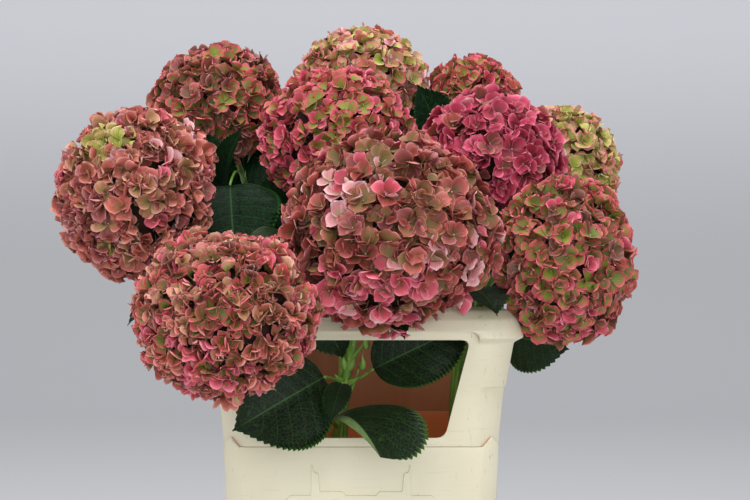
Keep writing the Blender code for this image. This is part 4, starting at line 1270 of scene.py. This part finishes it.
def frontWall(z):  # the collar's front wall, its plane carried on up behind the lip
    heights, flares = np.array(collarShape["outside"][:3]).T
    slope = (flares[2] - flares[1]) / (heights[2] - heights[1])
    local = z - collarShape["base"]
    flare = np.interp(local, heights, flares) + slope * np.maximum(local - heights[2], 0)
    return -(bucketShape["halfDepth"] + flare)


def collarMesh():  # the shell, the lip cut away over the window, a plain plate put there and the window cut
    shape = collarShape
    collar = collarShell()
    depth = bucketShape["halfDepth"]
    through = (-depth - shape["reach"], -depth + shape["reach"])
    combine(collar, "DIFFERENCE", bandOutline(0.0, 0.0), *through)
    plate = bandOutline(*shape["plateMore"])
    front = frontWall(plate[:, 1])
    combine(collar, "UNION", plate, front, front + shape["frameThick"])
    combine(collar, "DIFFERENCE", windowOutline(0.0, 10), *through)
    bevel = dict(width=shape["bevel"], segments=2, limit_method="ANGLE", angle_limit=shape["bevelAngle"])
    modify(collar, "BEVEL", **bevel)
    return collar


creamLook = {
    "low": (223, 215, 186),
    "high": (233, 226, 198),
    "scuff": (170, 158, 124),
    "speck": (140, 124, 92),
    "clouds": (7.0, (0.3, 0.75)),
    "nearCorner": (1.72, 1.90),  # where |x| / half width + |y| / half depth rises
    "scratches": ((90, 90, 16), (0.62, 0.70)),  # stretch, and the edges between which the noise rises
    "scratchShare": (0.55, 0.10),  # more at a corner, and everywhere
    "lines": ((22, 22, 420), (0.64, 0.72), 0.12),
    "specks": (330.0, (0.765, 0.80), 0.55),
    "roughness": (0.36, 0.12, (0.5, 0.8)),  # and how much more where it is scratched, and between which edges
    "grain": (900.0, 0.3),
    "relief": 0.00012,
}


def creamFinish(name):  # cloudy cream, rubbed at its corners, finely lined and specked
    look = creamLook
    made = Finish(name)
    place = made.place()
    scale, edges = look["clouds"]
    colour = made.mix(made.noise(place, scale, 3.0).rise(*edges), paint(*look["low"]), paint(*look["high"]))
    x, y, z = made.split(place)
    out = x.size() / bucketShape["halfWidth"] + y.size() / bucketShape["halfDepth"]
    atCorner, everywhere = look["scratchShare"]
    stretch, edges = look["scratches"]
    scratches = made.noise(made.stretch(place, stretch), 3.0, 4.0, 0.65)
    rubbed = scratches.rise(*edges) * (out.rise(*look["nearCorner"]) * atCorner + everywhere)
    colour = made.mix(rubbed, colour, paint(*look["scuff"]))
    stretch, edges, share = look["lines"]
    lines = made.noise(made.stretch(place, stretch), 1.0, 2.0, 0.5)
    colour = made.mix(lines.rise(*edges) * share, colour, paint(*look["scuff"]))
    scale, edges, share = look["specks"]
    colour = made.mix(made.noise(place, scale, 1.0).rise(*edges) * share, colour, paint(*look["speck"]))
    smooth, rougher, edges = look["roughness"]
    grainScale, grainShare = look["grain"]
    return made.feed(
        Base_Color=colour,
        Roughness=scratches.rise(*edges) * rougher + smooth,
        Normal=made.bump(made.noise(place, grainScale, 1.0) * grainShare + rubbed, look["relief"]),
    )


cream = creamFinish("creamPlastic")
# The brown-orange insides paint shade and the warm light coming through the thin plastic, in vertical
# streaks.
banded = dict(roughness=0.5, scale=1.0, detail=3.0, edges=(0.3, 0.7), stretch=(18, 18, 3))
collarInnerPaintedLight = blend("collarInnerPaintedLight", (166, 100, 60), (186, 120, 78), **banded)
bucketInnerPaintedLight = blend("bucketInnerPaintedLight", (196, 96, 38), (212, 110, 48), **banded)


def addBucket():  # the shell and a raised panel on its front and back, all one piece
    shell, kinds = bucketShell()
    skins = [shell, raisedPanel(1), raisedPanel(-1)]
    counts = [len(points) for points, _ in skins]
    starts = np.cumsum([0, *counts[:-1]])
    quads, caps = zip(*([part + start for part in faces] for (_, faces), start in zip(skins, starts)))
    brown = np.zeros(sum(len(part) for part in quads + caps), int)
    brown[: len(kinds)] = kinds
    brown[sum(len(part) for part in quads) + 1] = 1  # the floor, also in the brown-orange painted shade
    made = addPiece(
        "bucketBody",
        np.concatenate([points for points, _ in skins]),
        [np.concatenate(quads), *caps],
        [cream, bucketInnerPaintedLight],
        "cream_plastic",
        ["bucket"],
        faceFinish=brown,
    )
    made.data.set_sharp_from_angle(angle=sharpAngle)
    return len(made.data.polygons)


def addCollar():  # brown-orange, painted shade and warm light through the plastic, on its underside and where a wall faces inwards, below innerTop
    shape = collarShape
    made = collarMesh()
    mesh = made.data
    mesh.materials.append(cream)
    mesh.materials.append(collarInnerPaintedLight)
    count = len(mesh.polygons)
    middles, normals = np.zeros(count * 3), np.zeros(count * 3)
    mesh.polygons.foreach_get("center", middles)
    mesh.polygons.foreach_get("normal", normals)
    middles, normals = middles.reshape(-1, 3), normals.reshape(-1, 3)
    nearWall = np.array([bucketShape["halfWidth"], bucketShape["halfDepth"]]) * 0.86
    outward = np.where(np.abs(middles[:, :2]) > nearWall, np.sign(middles[:, :2]), 0)
    inward = np.sum(outward * normals[:, :2], 1) < -0.5
    height = middles[:, 2] - shape["base"]
    inner = ((height < 0.001) | inward) & (height < shape["innerTop"])
    mesh.polygons.foreach_set("material_index", inner.astype(np.int32))
    mesh.polygons.foreach_set("use_smooth", np.ones(count, bool))
    mesh.set_sharp_from_angle(angle=sharpAngle)
    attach(made, "root")
    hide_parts("collar")
    return count


print("bucket and collar made:", addBucket(), addCollar(), "faces")


stageShape = {"floorEnd": 3.4, "radius": 2.2, "top": 5.0, "halfWidth": 6.5, "front": -6.5}
# The backdrop's grey lightening with height is painted light.
backdropLook = {"low": (197, 197, 197), "high": (238, 238, 240), "heights": (0.4, 1.7)}


def paleFinish(name, low, high, heights):  # a plain grey, a little lighter higher up: painted light
    made = Finish(name, Roughness=0.9)
    z = made.split(made.place())[2]
    return made.feed(Base_Color=made.mix(z.rise(*heights), paint(*low), paint(*high)))


def backdrop():  # a floor that curves up into a wall behind: a profile in y and z carried along x
    shape = stageShape
    angle = np.linspace(0, math.pi / 2, 24)
    y = np.append(shape["front"], shape["floorEnd"] + shape["radius"] * np.sin(angle))
    z = np.append(0.0, shape["radius"] * (1 - np.cos(angle)))
    y, z = np.append(y, y[-1]), np.append(z, shape["top"])
    x = np.array([-shape["halfWidth"], shape["halfWidth"]])
    points = np.stack(np.broadcast_arrays(x[None, :], y[:, None], z[:, None]), -1)
    made = plainMesh("backdrop", points.reshape(-1, 3), [gridFaces(len(y), 2)])
    made.data.polygons.foreach_set("use_smooth", np.ones(len(made.data.polygons), bool))
    made.data.materials.append(paleFinish("backdropGrey", **backdropLook))


backdrop()

cameraLook = {"place": (0.0146, -1.975, 0.5355), "sensor": 36, "lensOverSensor": 1706 / 750}
camera = bpy.data.cameras.new("camera")
camera.sensor_width = cameraLook["sensor"]
camera.lens = cameraLook["sensor"] * cameraLook["lensOverSensor"]
cameraObject = bpy.data.objects.new("camera", camera)
cameraObject.location = cameraLook["place"]
cameraObject.rotation_euler = (math.pi / 2, 0, 0)
bpy.context.scene.collection.objects.link(cameraObject)
bpy.context.scene.camera = cameraObject

lamps = {  # place, size, power and colour
    "key": ((-0.7, -1.7, 2.3), 2.0, 34, (1.0, 0.985, 0.96)),
    "fill": ((0.7, -2.6, 0.45), 2.0, 24, (0.97, 0.98, 1.0)),
    "high": ((0.0, 0.0, 2.6), 2.0, 30, (1.0, 1.0, 1.0)),
}
lampAim = Vector((0.0, -0.05, 0.52))
for name, (place, size, power, colour) in lamps.items():
    light = bpy.data.lights.new(name, "AREA")
    light.size = size
    light.energy = power
    light.color = colour
    lamp = bpy.data.objects.new(name, light)
    lamp.location = place
    lamp.rotation_euler = (lampAim - Vector(place)).to_track_quat("-Z", "Y").to_euler()
    bpy.context.scene.collection.objects.link(lamp)

worldLook = {"Color": (0.92, 0.94, 1.0, 1.0), "Strength": 0.74}
world = bpy.data.worlds.new("studio")
world.use_nodes = True
for name, value in worldLook.items():
    world.node_tree.nodes["Background"].inputs[name].default_value = value
bpy.context.scene.world = world
bpy.context.scene.view_settings.view_transform = "Standard"
